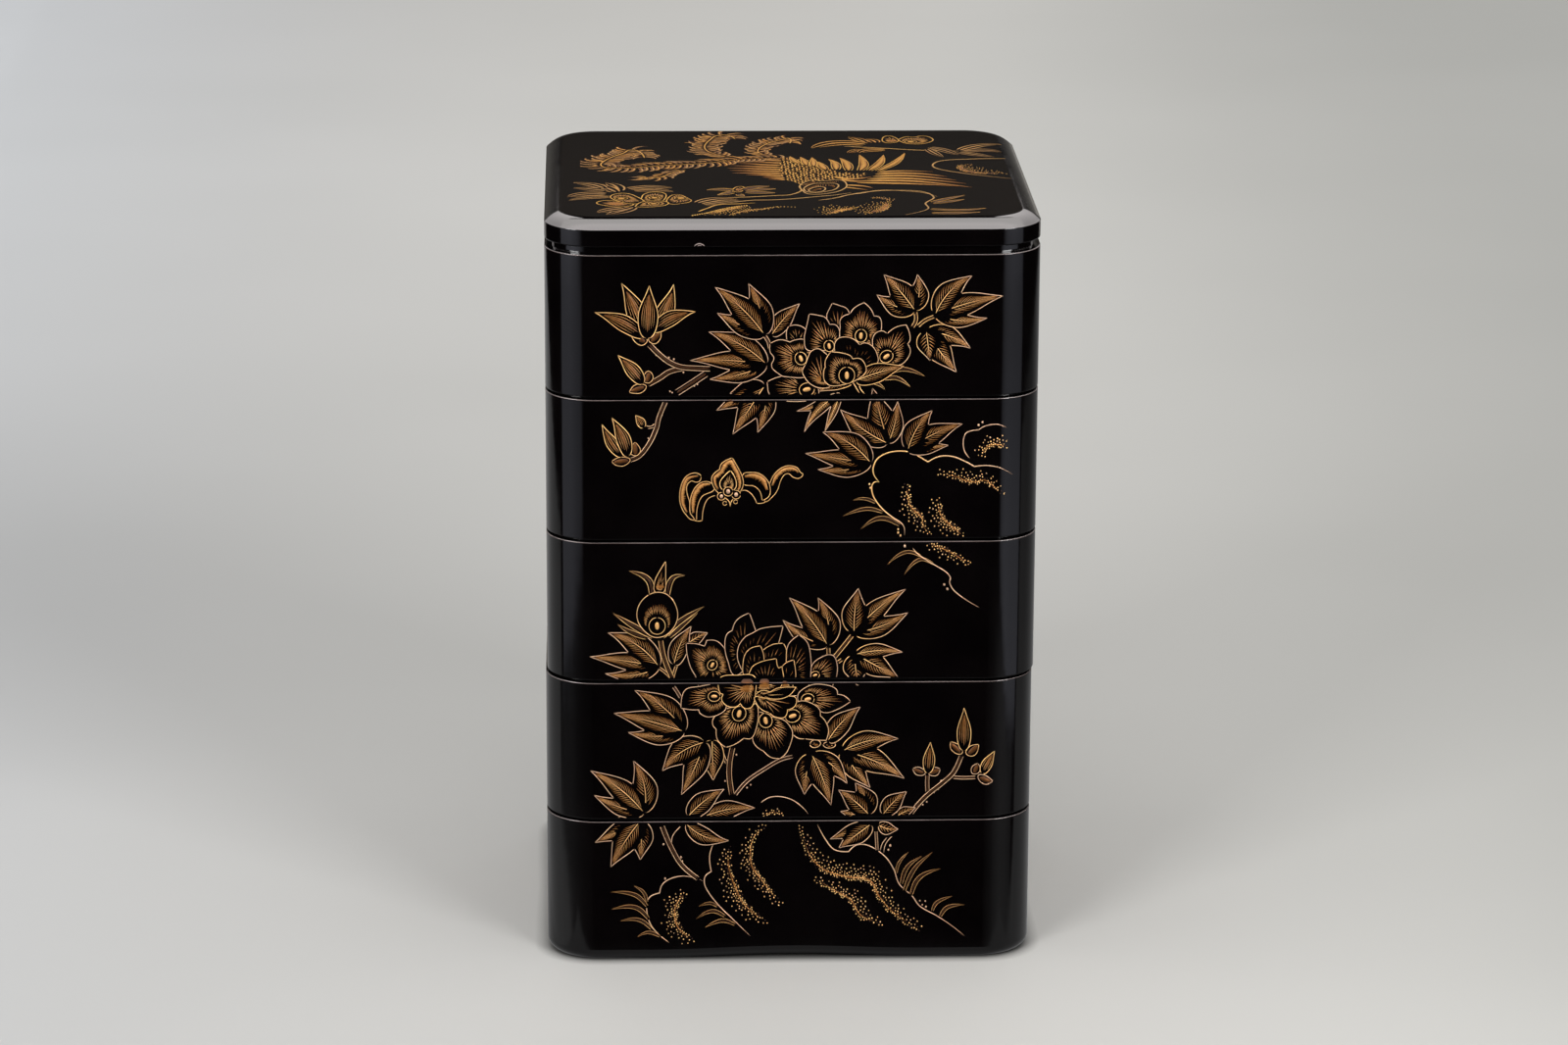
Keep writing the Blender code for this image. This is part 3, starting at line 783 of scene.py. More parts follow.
def second_tray(w):
    """Bud, leaves and rocks on the second tray."""
    long_petal(w, (-70.7, 228.3), (-77.6, 245.4), 6.0, -0.06)
    long_petal(w, (-73.1, 228.1), (-81.8, 242.6), 5.0, 0.04)
    bud_scale(w, [(-67.6, 234.6, 1), (-65.4, 231.2), (-66.7, 228.8), (-69.1, 229.2), (-69.8, 231.7)])
    bud_scale(w, [(-77.7, 226.1, 1), (-74.4, 227.9), (-70.2, 227.5), (-69.9, 226.1), (-72.8, 224.1),
        (-75.7, 224.4)])
    long_petal(w, (-63.9, 240.9), (-67.6, 246.5), 3.6, -0.05)
    stem(w, [(-54.5, 252.7), (-57.5, 245.2), (-58.6, 240.5), (-61.6, 234.0), (-65.7, 228.6), (-69.9, 226.6)],
        1.7, 0.6)
    line(w, [(-59.3, 242.7), (-61.0, 241.6), (-63.5, 241.9)], 0.5, 0.6)
    line(w, [(-59.2, 241.1), (-60.9, 240.7), (-62.3, 240.4)], 0.5, 0.6)
    dots(w, [(-56.2, 246.3), (-62.0, 236.3)], 0.4)
    leaf(w, (33.2, 224.7), [((12.2, 238.7), 8.6, -0.09), ((4.9, 229.3), 6.4, 0.0),
        ((10.3, 222.2), 5.4, 0.07)])
    leaf(w, (40.4, 233.5), [((19.8, 248.6), 8.4, 0.05), ((44.3, 252.1), 6.0, -0.05),
        ((33.5, 258.0), 9.2, 0.0)])
    leaf(w, (48.9, 230.3), [((59.2, 248.0), 8.0, 0.08), ((72.3, 242.0), 7.6, 0.06),
        ((66.4, 232.6), 4.4, 0.0)])
    line(w, [(36.9, 216.3, 1), (34.4, 219.8), (34.2, 223.0), (35.9, 226.7), (40.0, 229.2), (45.5, 230.1),
        (50.3, 229.4), (53.9, 227.5), (57.5, 225.2, 1), (61.1, 227.2), (65.3, 227.9), (69.6, 227.1),
        (73.8, 225.2), (77.5, 223.1, 1), (82.9, 223.5), (87.8, 222.6), (91.7, 220.7), (94.8, 218.6)], 0.85,
        0.85, 0.55)
    blade(w, [(35.4, 207.2), (30.6, 209.1), (25.5, 208.4)], 1.2)
    blade(w, [(38.6, 202.9), (31.2, 204.6), (21.0, 201.3)], 1.4)
    blade(w, [(45.8, 197.2), (37.3, 200.4), (28.9, 195.5)], 1.8)
    line(w, [(36.9, 216.4), (34.3, 216.1), (33.6, 213.0), (34.8, 209.2), (37.9, 204.9), (42.1, 201.1),
        (46.4, 198.2), (47.7, 196.0), (47.8, 192.6)], 0.8, 0.8, 0.6)
    dots(w, [(32.6, 215.5), (33.0, 213.9), (45.1, 195.4), (45.1, 193.9), (46.1, 192.6)], 0.5, 0.75)
    line(w, [(75.5, 226.6), (73.1, 230.2), (72.6, 234.6), (73.6, 237.7), (76.0, 238.9), (79.0, 239.2, 1),
        (82.0, 241.0), (86.9, 241.6), (91.7, 239.7)], 0.7, 0.6, 0.45)
    dots(w, [(79.0, 241.4), (80.7, 242.6)], 0.5, 0.6)
    stipple(w, [(81.5, 227.4), (82.1, 230.2), (84.3, 231.8), (87.6, 232.0), (91.5, 230.7)], 2.4, 150)
    stipple(w, [(49.2, 216.0), (49.6, 211.0), (50.8, 206.0), (56.0, 200.7), (56.2, 197.9), (59.9, 192.2)],
        -2.6, 330)
    stipple(w, [(62.7, 209.1), (63.1, 204.7), (64.5, 201.0), (68.1, 197.5), (74.3, 192.1)], -2.6, 300)
    stipple(w, [(61.8, 219.8), (69.7, 218.1), (73.9, 216.2), (78.2, 215.8), (81.8, 216.5), (85.4, 213.9),
        (89.9, 210.3)], 2.2, 260)
    line(w, [(51.3, 187.3), (53.8, 184.2), (59.8, 180.1), (65.8, 176.3), (67.8, 173.7), (67.5, 171.5),
        (69.2, 168.2), (73.8, 164.3), (80.5, 160.2)], 0.7, 0.6, 0.45)
    blade(w, [(55.0, 183.4), (48.4, 185.2), (40.6, 179.8)], 1.3)
    blade(w, [(60.3, 179.9), (54.3, 181.8), (47.8, 175.0)], 1.3)
    dots(w, [(48.0, 187.9), (65.2, 170.6), (66.6, 168.6)], 0.6, 0.6)
    stipple(w, [(57.4, 189.6), (64.8, 187.0), (69.4, 184.6), (76.3, 180.0)], -2.0, 170)


def tulip_bud(w):
    """Round bud with a spiked top on the third tray."""
    petal(w, [(-61.9, 166.8), (-65.6, 163.2), (-67.1, 158.4), (-66.0, 153.5), (-61.9, 148.8), (-58.3, 147.6),
        (-54.4, 148.8), (-50.8, 152.8), (-49.5, 157.8), (-50.9, 163.1), (-53.9, 166.7), (-57.8, 167.9)],
        (-58.4, 152.8), 1.5, 0.72, ring=2.35, inner=0.95, depth=0.72)
    petal(w, [(-59.2, 168.1), (-59.4, 172.6), (-57.8, 176.4), (-54.7, 181.7, 1), (-54.7, 175.5),
        (-55.3, 168.3)], (-57.1, 170.3), 0.0, 0.75, 0.45)
    blade(w, [(-60.8, 166.2), (-62.3, 173.6), (-70.5, 177.5)], 2.6, 0.8)
    blade(w, [(-53.9, 166.1), (-51.8, 174.0), (-46.2, 175.4)], 2.4, 0.8)
    blade(w, [(-60.1, 147.7), (-69.2, 153.2), (-77.4, 158.7)], 2.4, 0.6)
    blade(w, [(-63.0, 147.4), (-70.2, 150.3), (-75.5, 153.7)], 2.0, 0.6)
    blade(w, [(-56.0, 147.7), (-48.2, 155.0), (-38.1, 161.5)], 2.2, 0.7)
    blade(w, [(-53.2, 147.6), (-46.4, 154.0), (-40.7, 158.7)], 1.8, 0.7)
    stem(w, [(-56.9, 146.4), (-55.4, 138.3), (-51.9, 129.2)], 1.8, 0.75)


def lower_peony(w):
    """Peony across the seam of the third and fourth trays, seen from below."""
    petal(w, [(-15.8, 121.1, 1), (-12.6, 123.4), (-9.0, 122.7, 1), (-5.4, 124.5), (2.2, 124.8, 1),
        (-0.9, 121.0), (-5.4, 119.5), (-11.2, 120.0)], (-13.8, 121.3), 0.0, 0.85, 0.5, 1.0, 0.6, 0.86)
    petal(w, [(-15.5, 120.5), (-14.8, 117.4), (-12.5, 114.7), (-9.3, 113.3, 1), (-6.7, 111.4), (-2.8, 111.2),
        (-1.4, 114.6, 1), (1.8, 116.3), (2.1, 120.0), (-1.5, 120.8), (-8.0, 120.8)], (-11.9, 119.8), 0.0,
        0.85, inner=1.0)
    petal(w, [(-31.5, 126.3, 1), (-30.7, 122.6), (-29.3, 121.8, 1), (-29.9, 119.2), (-27.5, 116.5),
        (-23.9, 116.1), (-21.9, 117.6, 1), (-19.7, 115.3), (-16.8, 116.2), (-15.7, 120.8, 1), (-16.3, 129.6),
        (-24.2, 130.4), (-30.7, 129.7)], (-19.0, 124.2), 0.0, 0.85, inner=1.0, depth=0.88)
    petal(w, [(-47.6, 115.6, 1), (-46.9, 121.7), (-45.0, 124.4), (-39.8, 125.4), (-34.0, 126.4),
        (-31.4, 126.0), (-29.1, 121.6), (-28.1, 115.5), (-31.4, 112.6), (-35.9, 111.6), (-39.1, 113.1),
        (-39.9, 114.9, 1), (-43.0, 114.9)], (-33.2, 120.9), 1.2, 0.62, tilt=0, inner=0.95)
    petal(w, [(-28.1, 97.7, 1), (-31.7, 101.2), (-32.3, 106.0, 1), (-33.8, 108.0), (-33.6, 110.7),
        (-31.4, 113.1), (-28.4, 115.1), (-23.6, 116.1), (-17.7, 115.7), (-15.1, 117.4), (-14.1, 112.0),
        (-15.1, 105.8), (-17.0, 101.9), (-20.3, 101.8, 1), (-24.2, 99.1)], (-22.4, 113.0), 1.55, 0.68,
        tilt=75, inner=1.0)
    petal(w, [(-4.6, 92.5, 1), (-8.5, 93.0), (-11.8, 95.9, 1), (-15.1, 98.3), (-16.5, 101.8), (-14.8, 107.2),
        (-14.5, 113.3), (-8.6, 111.6), (-2.8, 109.8), (0.4, 105.7), (0.8, 102.3, 1), (-0.4, 98.2),
        (-2.0, 94.8)], (-10.9, 109.8), 1.5, 0.66, tilt=100, inner=1.0)
    petal(w, [(0.7, 103.5), (3.4, 101.6), (6.1, 101.4, 1), (10.7, 100.8), (15.4, 100.6, 1), (16.4, 105.2),
        (15.0, 109.3), (12.8, 111.8, 1), (12.3, 114.9), (8.6, 117.7), (4.6, 118.6), (0.7, 117.1),
        (-2.6, 114.3), (-3.9, 109.5), (-1.9, 105.3)], (0.8, 111.8), 1.5, 0.68, tilt=15, inner=1.0)
    petal(w, [(25.9, 118.2, 1), (23.2, 120.7), (20.2, 121.5, 1), (19.5, 123.9), (15.9, 125.6), (9.9, 126.0),
        (5.3, 124.0), (3.0, 121.2), (4.0, 117.1), (10.0, 115.6), (14.6, 113.2), (19.9, 114.5)], (7.3, 119.4),
        1.3, 0.62, tilt=10, inner=0.95)
    petal(w, [(-18.8, 124.6), (-17.9, 133.2), (-14.3, 136.1), (-6.9, 137.8, 1), (-6.0, 133.6), (-4.5, 134.1),
        (-5.1, 124.5)], (-11.5, 125.5), 0.0, 0.8, inner=1.0)
    petal(w, [(0.6, 137.2, 1), (-3.7, 135.1), (-5.8, 130.3), (-4.6, 124.5), (0.5, 124.5)], (-2.8, 125.5), 0.0,
        0.75)
    petal(w, [(-13.8, 143.6, 1), (-18.9, 141.9), (-21.2, 137.1), (-20.2, 129.4), (-13.3, 130.3),
        (-12.3, 138.0)], (-16.6, 131.3), 0.0, 0.75)
    petal(w, [(-4.0, 144.7, 1), (-9.7, 143.7), (-13.8, 139.9), (-14.3, 132.3), (-5.1, 130.3), (-2.6, 140.8)],
        (-10.6, 133.2), 0.0, 0.75, inner=0.95)
    petal(w, [(-4.1, 152.5, 1), (-13.4, 151.4), (-17.1, 149.5), (-20.7, 147.4), (-23.5, 142.7),
        (-23.3, 136.2), (-18.9, 130.4), (-9.7, 134.2), (-6.2, 144.2)], (-18.9, 135.2), 0.0, 0.62)
    petal(w, [(2.7, 148.4, 1), (-1.5, 144.6), (-3.1, 139.4), (-6.0, 132.2), (-5.0, 122.6), (6.0, 122.5),
        (8.0, 132.1), (7.7, 139.8), (6.3, 145.1)], (-1.9, 130.3), 0.0, 0.6, inner=0.95)
    petal(w, [(-18.7, 158.4, 1), (-24.0, 155.3), (-26.1, 150.5, 1), (-28.5, 148.6), (-29.2, 142.9),
        (-28.0, 137.1), (-24.4, 130.4), (-18.9, 138.0), (-16.0, 149.5), (-16.9, 153.3)], (-21.2, 140.0), 0.0,
        0.6)
    petal(w, [(-45.9, 144.9, 1), (-41.8, 144.7), (-38.0, 143.6, 1), (-37.0, 146.2, 1), (-32.6, 145.8),
        (-29.0, 141.9), (-26.9, 136.2), (-26.2, 129.5), (-28.0, 122.7), (-37.2, 122.8), (-42.0, 130.5, 1),
        (-44.1, 134.4), (-45.5, 140.1)], (-34.6, 135.1), 1.1, 0.55, tilt=60)
    petal(w, [(8.7, 128.7), (8.2, 134.0), (11.4, 137.7), (17.1, 139.2), (19.3, 134.9), (19.0, 129.2),
        (17.0, 124.4), (9.7, 124.4)], (9.8, 130.2), 0.9, 0.55, tilt=20)


def third_and_fourth_trays(w):
    """Leaves, stems and buds round the lower peony."""
    leaf(w, (-57.6, 134.3), [((-79.8, 149.9), 8.4, -0.1), ((-87.6, 139.0), 6.2, -0.02),
        ((-81.0, 131.6), 5.2, 0.1)], 0.62, 0.5)
    leaf(w, (-51.2, 135.2), [((-43.6, 152.7), 6.4, 0.06)], 0.6, 0.5)
    leaf(w, (-45.3, 144.7), [((-36.5, 149.6), 4.4, 0.05)], 0.6, 0.5)
    stem(w, [(-57.6, 134.0), (-54.6, 131.6), (-52.3, 129.2)], 1.0, 0.7)
    stem(w, [(-49.9, 135.4), (-51.0, 132.0), (-51.7, 129.2)], 1.0, 0.7)
    leaf(w, (15.2, 143.4), [((-1.6, 165.2), 8.0, -0.05), ((10.8, 165.1), 8.0, -0.1),
        ((-4.3, 155.2), 6.0, 0.08)], 0.65, 0.5)
    leaf(w, (26.5, 149.2), [((28.3, 169.3), 8.6, 0.03), ((48.8, 168.7), 6.8, 0.05),
        ((49.8, 158.2), 7.0, -0.06)], 0.75, 0.5)
    leaf(w, (27.2, 139.5), [((47.7, 140.3), 5.2, 0.06), ((46.2, 128.5), 8.0, 0.0),
        ((29.0, 125.2), 8.4, -0.05)], 0.8, 0.5)
    stem(w, [(25.7, 148.1), (21.5, 142.6), (17.8, 137.8)], 1.6, 0.75)
    stem(w, [(15.5, 142.6), (15.6, 139.3)], 1.3, 0.75)
    stem(w, [(21.5, 137.3), (19.5, 135.9)], 1.2, 0.8)
    leaf(w, (-46.0, 105.0), [((-76.8, 113.6), 7.8, -0.02), ((-67.7, 123.9), 9.4, -0.08),
        ((-70.6, 104.9), 6.4, 0.08)], 0.6, 0.5)
    leaf(w, (-37.2, 100.2), [((-55.7, 87.1), 9.4, -0.1), ((-47.5, 76.1), 8.0, 0.02)], 0.65, 0.5)
    leaf(w, (-34.1, 101.2), [((-33.6, 82.6), 7.8, 0.0)], 0.8, 0.6)
    leaf(w, (-63.5, 67.9), [((-87.0, 87.5), 8.0, -0.06), ((-68.3, 92.0), 8.6, -0.1),
        ((-85.4, 76.4), 6.0, 0.05)], 0.65, 0.5)
    leaf(w, (-44.5, 66.2), [((-28.7, 78.7), 7.2, 0.06)], 0.6, 0.5)
    leaf(w, (-37.2, 66.4), [((-15.3, 70.0), 6.6, 0.06)], 0.6, 0.5)
    line(w, [(-75.3, 65.8), (-72.4, 66.9), (-69.1, 66.2)], 0.5, 0.6)
    stem(w, [(-24.1, 75.9), (-18.9, 82.3), (-11.1, 87.9), (-4.6, 91.8), (1.2, 93.4)], 1.3, 0.55)
    stem(w, [(-25.2, 97.7), (-26.4, 90.9), (-26.6, 84.7), (-25.4, 76.0)], 2.0, 0.65)
    stem(w, [(-30.2, 97.8), (-29.1, 93.6), (-27.6, 90.4)], 1.1, 0.65)
    stem(w, [(-50.8, 125.5), (-49.2, 123.1), (-47.6, 120.3)], 1.2, 0.5)
    dots(w, [(-23.5, 94.3), (-28.4, 82.4), (-18.9, 79.3), (-17.3, 80.6)], 0.38, 0.5)
    leaf(w, (9.1, 94.4), [((17.7, 70.9), 8.2, 0.03), ((6.1, 75.8), 8.0, -0.04), ((24.7, 80.7), 6.8, 0.1)],
        0.75, 0.5)
    leaf(w, (22.4, 95.7), [((46.9, 101.1), 7.6, 0.08), ((49.6, 82.9), 8.8, 0.06), ((34.8, 78.8), 7.0, -0.02)],
        0.85, 0.5)
    leaf(w, (16.0, 100.1), [((30.2, 115.8), 7.4, 0.06)], 0.65, 0.5)
    petal(w, [(8.4, 98.9), (9.4, 100.5), (11.7, 100.7), (13.0, 99.3), (11.7, 97.7), (9.4, 97.5)],
        (11.1, 98.6), 0.0, 0.7)
    petal(w, [(14.2, 98.9), (16.0, 99.9), (18.7, 99.6), (19.4, 98.2), (17.4, 97.1), (15.0, 97.5)],
        (16.7, 97.8), 0.0, 0.7)
    leaf(w, (34.4, 66.4), [((20.8, 78.0), 7.2, -0.04), ((28.0, 81.2), 7.4, -0.1), ((21.7, 68.2), 4.4, 0.05)],
        0.65, 0.5)
    leaf(w, (40.3, 66.4), [((50.7, 77.1), 6.4, 0.05)], 0.6, 0.5)
    leaf(w, (46.3, 65.6), [((54.8, 69.6), 3.6, 0.05)], 0.55, 0.5)
    long_petal(w, (59.8, 85.3), (60.7, 99.6), 5.0, 0.0)
    bud_scale(w, [(58.6, 85.3), (56.1, 88.0), (53.1, 87.4, 1), (55.1, 84.5)], 0.62)
    bud_scale(w, [(60.0, 85.3), (62.4, 87.9), (65.1, 87.2, 1), (63.4, 84.2)], 0.62)
    long_petal(w, (75.3, 95.5), (75.2, 115.2), 6.0, 0.0, 0.95)
    bud_scale(w, [(74.3, 94.1), (73.3, 97.8), (69.5, 99.6, 1), (70.0, 95.7)], 0.75)
    bud_scale(w, [(76.3, 94.1), (77.9, 97.4), (81.8, 98.3, 1), (80.0, 93.4)], 0.75)
    long_petal(w, (83.4, 85.0), (88.9, 95.2), 4.6, 0.02)
    bud_scale(w, [(81.4, 85.1), (79.0, 85.2), (78.9, 88.0), (81.5, 89.7, 1), (82.5, 87.1)], 0.62)
    bud_scale(w, [(81.6, 83.9), (84.9, 84.0), (88.2, 81.3, 1), (84.3, 80.1)], 0.62)
    stem(w, [(52.6, 67.0), (58.6, 74.4), (66.8, 81.4), (70.9, 85.6), (74.3, 93.4)], 1.7, 0.6)
    stem(w, [(59.7, 76.8), (59.5, 80.8), (59.6, 84.5)], 1.5, 0.6)
    stem(w, [(70.7, 83.4), (75.5, 83.1), (80.7, 83.3)], 1.2, 0.6)
    dots(w, [(65.6, 81.8), (62.5, 76.5), (64.3, 77.9), (59.4, 72.2), (57.7, 70.9)], 0.4, 0.5)
    line(w, [(-13.0, 72.3), (-9.1, 74.7), (-4.6, 75.1), (0.7, 73.6), (5.3, 70.1), (8.0, 66.8)], 0.6, 0.55,
        0.5)
    stipple(w, [(-12.0, 65.8), (-10.1, 67.1), (-7.1, 67.6), (-2.9, 66.4)], 1.0, 60)


def lowest_tray(w):
    """Rocks, grasses and leaves on the lowest tray."""
    leaf(w, (-65.3, 64.4), [((-78.3, 43.2), 8.6, -0.03), ((-65.4, 46.4), 8.0, 0.03),
        ((-85.1, 54.6), 6.4, 0.0)], 0.6, 0.5)
    leaf(w, (-45.4, 63.1), [((-26.6, 55.1), 6.4, -0.12)], 0.6, 0.5)
    stem(w, [(-55.8, 62.0), (-52.0, 52.5), (-47.3, 44.1), (-40.0, 37.5)], 1.8, 0.6)
    line(w, [(-47.6, 61.9), (-51.2, 57.4), (-51.6, 52.5)], 0.55, 0.55)
    dots(w, [(-55.2, 53.6), (-47.6, 47.6), (-47.1, 45.8)], 0.5, 0.5)
    leaf(w, (35.2, 62.2), [((21.1, 51.3), 7.0, 0.0), ((17.2, 55.4), 5.0, 0.0)], 0.65, 0.5)
    leaf(w, (38.5, 61.8), [((47.2, 59.8), 4.5, -0.1)], 0.65, 0.5)
    stem(w, [(37.4, 59.0), (38.0, 50.0)], 1.0, 0.6)
    line(w, [(44.5, 56.6), (41.8, 53.2), (40.8, 48.8)], 0.5, 0.55)
    line(w, [(42.3, 56.1), (40.2, 53.2), (39.3, 49.7)], 0.5, 0.55)
    dots(w, [(42.9, 50.3), (43.7, 52.2)], 0.5, 0.5)
    grass = [
        ([(-62.4, 26.9), (-64.0, 31.6), (-68.3, 34.7)], 1.2),
        ([(-62.4, 25.0), (-67.8, 30.4), (-78.2, 31.8)], 1.6),
        ([(-61.7, 19.2), (-67.8, 24.7), (-78.2, 23.7)], 1.8),
        ([(-60.4, 14.5), (-66.2, 18.9), (-74.4, 18.3)], 1.5),
        ([(-56.7, 11.0), (-61.8, 13.0), (-66.8, 10.9)], 1.3),
        ([(-31.6, 24.7), (-35.1, 26.3), (-40.0, 24.8)], 1.2),
        ([(-28.3, 20.0), (-34.0, 22.6), (-41.1, 19.0)], 1.5),
        ([(-23.9, 16.2), (-29.6, 18.2), (-37.2, 15.0)], 1.6),
        ([(46.4, 39.3), (47.7, 44.5), (51.8, 49.3)], 1.1),
        ([(48.7, 34.4), (51.2, 42.2), (57.7, 47.3)], 1.6),
        ([(50.0, 31.2), (54.5, 41.6), (62.3, 49.1)], 1.6),
        ([(53.1, 29.4), (56.7, 37.5), (66.0, 41.5)], 1.8),
        ([(62.4, 21.8), (64.5, 25.9), (71.3, 28.7)], 1.3),
        ([(65.9, 19.2), (69.0, 23.5), (76.6, 24.7)], 1.5),
    ]
    for points, width in grass:
        blade(w, points, width, 0.45)
    line(w, [(-52.6, 8.1), (-59.7, 14.7), (-62.4, 21.7), (-61.7, 28.7), (-56.9, 31.2, 1), (-55.8, 35.0),
        (-52.5, 37.6), (-47.1, 38.9), (-41.6, 38.1), (-37.5, 36.3)], 0.7, 0.6, 0.5)
    dot(w, (-54.5, 37.8), 0.55, 0.5)
    stipple(w, [(-44.0, 31.0), (-48.4, 26.8), (-49.6, 21.0), (-48.0, 15.2), (-41.8, 9.7)], -2.8, 420)
    line(w, [(-33.4, 54.0), (-35.1, 48.0), (-34.4, 40.9, 1), (-37.2, 38.3), (-36.8, 33.6), (-31.8, 26.1),
        (-25.2, 19.1), (-17.0, 10.7)], 0.7, 0.6, 0.5)
    stipple(w, [(-26.1, 52.6), (-26.1, 43.4), (-23.5, 34.7), (-19.8, 26.6), (-10.1, 17.8)], -2.8, 430)
    stipple(w, [(-10.6, 61.6), (-15.7, 55.4), (-16.3, 44.4), (-11.9, 37.2), (-3.6, 25.9)], -2.4, 360)
    line(w, [(11.7, 62.4), (15.9, 54.5), (19.5, 50.5), (25.5, 49.6, 1), (29.3, 52.7), (34.7, 52.1),
        (41.3, 47.4), (45.2, 41.6), (47.8, 34.5), (53.5, 28.9), (56.9, 24.2), (64.6, 19.5), (71.3, 14.8),
        (77.0, 9.9)], 0.7, 0.6, 0.45)
    dots(w, [(56.9, 26.7), (59.3, 26.5), (58.0, 24.8), (59.6, 23.9)], 0.42, 0.5)
    stipple(w, [(4.1, 62.1), (7.2, 49.4), (14.1, 41.0), (25.0, 37.2), (34.3, 35.7), (38.4, 28.4),
        (45.1, 20.6), (57.0, 12.8)], 3.0, 700)
    stipple(w, [(10.3, 37.0), (18.5, 31.7), (26.2, 26.8), (30.6, 19.8), (40.5, 15.6)], 2.4, 300)


def spray(w, x, z, turn, size):
    """Leafy twig at a place on the wall, for the plainer sides."""
    a = math.radians(turn)

    def at(along, across):
        return (x + size * (along * math.cos(a) - across * math.sin(a)),
                z + size * (along * math.sin(a) + across * math.cos(a)))

    for base, lobes in (
        ((1.0, 0.1), [((1.9, 0.5), 0.42, 0.05), ((2.05, -0.1), 0.38, -0.04)]),
        ((0.55, 0.0), [((0.9, 0.95), 0.40, 0.06), ((0.4, 0.9), 0.34, 0.0)]),
        ((0.6, 0.0), [((1.2, -0.8), 0.40, -0.06), ((0.65, -0.9), 0.34, 0.0)]),
    ):
        leaf(w, at(*base), [(at(*tip), width * size, bend) for tip, width, bend in lobes])
    stem(w, [at(0.0, -0.15), at(0.5, 0.0), at(1.0, 0.1)], 1.4, COPPER)
    dots(w, [at(0.25, 0.05), at(0.3, -0.2), at(0.75, 0.2)], 0.4)


def rock(w, x, z, size):
    """Rock with a dotted hollow, and grass at its foot."""
    crag = [(-1.0, -0.5), (-1.05, 0.1), (-0.7, 0.45, 1), (-0.35, 0.85), (0.2, 0.8), (0.5, 0.45, 1),
            (0.95, 0.3), (1.2, -0.15), (1.25, -0.6)]
    line(w, [(x + size * a, z + size * b, *corner) for a, b, *corner in crag], 0.7, 0.65, 0.45)
    hollow = [(0.25, 0.25), (-0.05, 0.1), (-0.1, -0.25), (0.3, -0.6)]
    stipple(w, [(x + size * a, z + size * b) for a, b in hollow], -2.6, int(16 * size))
    for lean, height in ((-1.5, 0.1), (-1.7, -0.15), (-1.4, -0.4)):
        root = (x - size, z + size * (height - 0.1))
        bend = (x + size * (lean + 1) * 0.6 - size, z + size * height)
        blade(w, [root, bend, (x + size * lean, z + size * (height - 0.15))], 1.4, 0.45)


def sides_and_back(w):
    """Plainer drawing on the sides and the back."""
    for x, z, turn, size in (
        (155.0, 270.0, 62, 20), (215.0, 296.0, 200, 17), (196.0, 222.0, 20, 19), (150.0, 178.0, 100, 18),
        (226.0, 158.0, 150, 20), (170.0, 96.0, 30, 21), (236.0, 34.0, 110, 19), (-160.0, 284.0, 160, 19),
        (-222.0, 262.0, 30, 20), (-190.0, 214.0, 75, 18), (-150.0, 150.0, 200, 18), (-236.0, 168.0, -20, 19),
        (-206.0, 104.0, 60, 21), (-156.0, 36.0, 100, 19), (335.0, 282.0, 20, 20), (425.0, 290.0, 200, 18),
        (455.0, 236.0, 110, 18), (352.0, 222.0, 60, 19), (408.0, 196.0, 160, 19), (338.0, 156.0, 70, 19),
        (455.0, 146.0, 100, 20), (396.0, 132.0, 20, 18), (345.0, 90.0, 120, 18), (432.0, 84.0, 40, 19),
    ):
        spray(w, x, z, turn, size)
    for x, z, size in (
        (206.0, 26.0, 26), (-200.0, 28.0, 27), (365.0, 28.0, 28), (440.0, 24.0, 22),
    ):
        rock(w, x, z, size)


def plume(sheet, points, width):
    """Feathered band along a curve: a rib with pointed barbs swept back on both sides."""
    middle = curve(points, step=BARB_SPACING)
    ahead, side = headings(middle)
    u = np.linspace(0.0, 1.0, 7)[:, None]
    sheet.stroke(curve(points), 0.36, PLUME_TONE + 0.15, PLUME_TONE - 0.1, (0.02, 0.2))
    for k in range(len(middle) - 2, 0, -1):
        mound = 0.5 + 0.5 * math.sin(math.pi * k / (len(middle) - 1)) ** 0.6
        for way in (-1, 1):
            out = width / 2 * mound * sheet.dice.uniform(0.7, 1.15)
            back = sheet.dice.uniform(0.9, 1.4) * BARB_SPACING
            barb = middle[k] + side[k] * way * out * np.sin(u * 1.7) - ahead[k] * back * (u + u**3)
            light = PLUME_TONE + sheet.dice.uniform(-0.16, 0.22)
            sheet.stroke(barb, 0.62, light, light - 0.1, (0.1, 0.22), 0.12, pale=True)
            sheet.stroke(barb - ahead[k], 0.30, 0.30, 0.22, (0.1, 0.3))
            sheet.hide_behind(np.vstack([barb + ahead[k] * 0.5, (barb - ahead[k] * 0.7)[::-1]]))


def scales(sheet, outline, length, width, tone):
    """Shape covered with rows of small rounded scales that open to the left."""
    shape = curve(outline, closed=True)
    low, high = shape.min(axis=0), shape.max(axis=0)
    turn = np.linspace(-1.35, 1.35, 7)
    row = 0
    x = low[0]
    while x < high[0]:
        y = low[1] + (width / 2 if row % 2 else 0.0)
        while y < high[1]:
            middle = np.array([x, y]) + np.array([sheet.dice.gauss(0, 0.25), sheet.dice.gauss(0, 0.5)])
            if inside(shape, middle[None])[0]:
                scale = np.stack([-np.cos(turn) * length * 0.5, np.sin(turn) * width * 0.5], axis=1)
                light = tone + sheet.dice.uniform(-0.2, 0.12)
                sheet.stroke(middle + scale, 0.32, light, light - 0.1, (0.05, 0.05))
                dot(sheet, middle, 0.22, tone - 0.38, pale=False)
            y += width
        x += length * 0.55
        row += 1


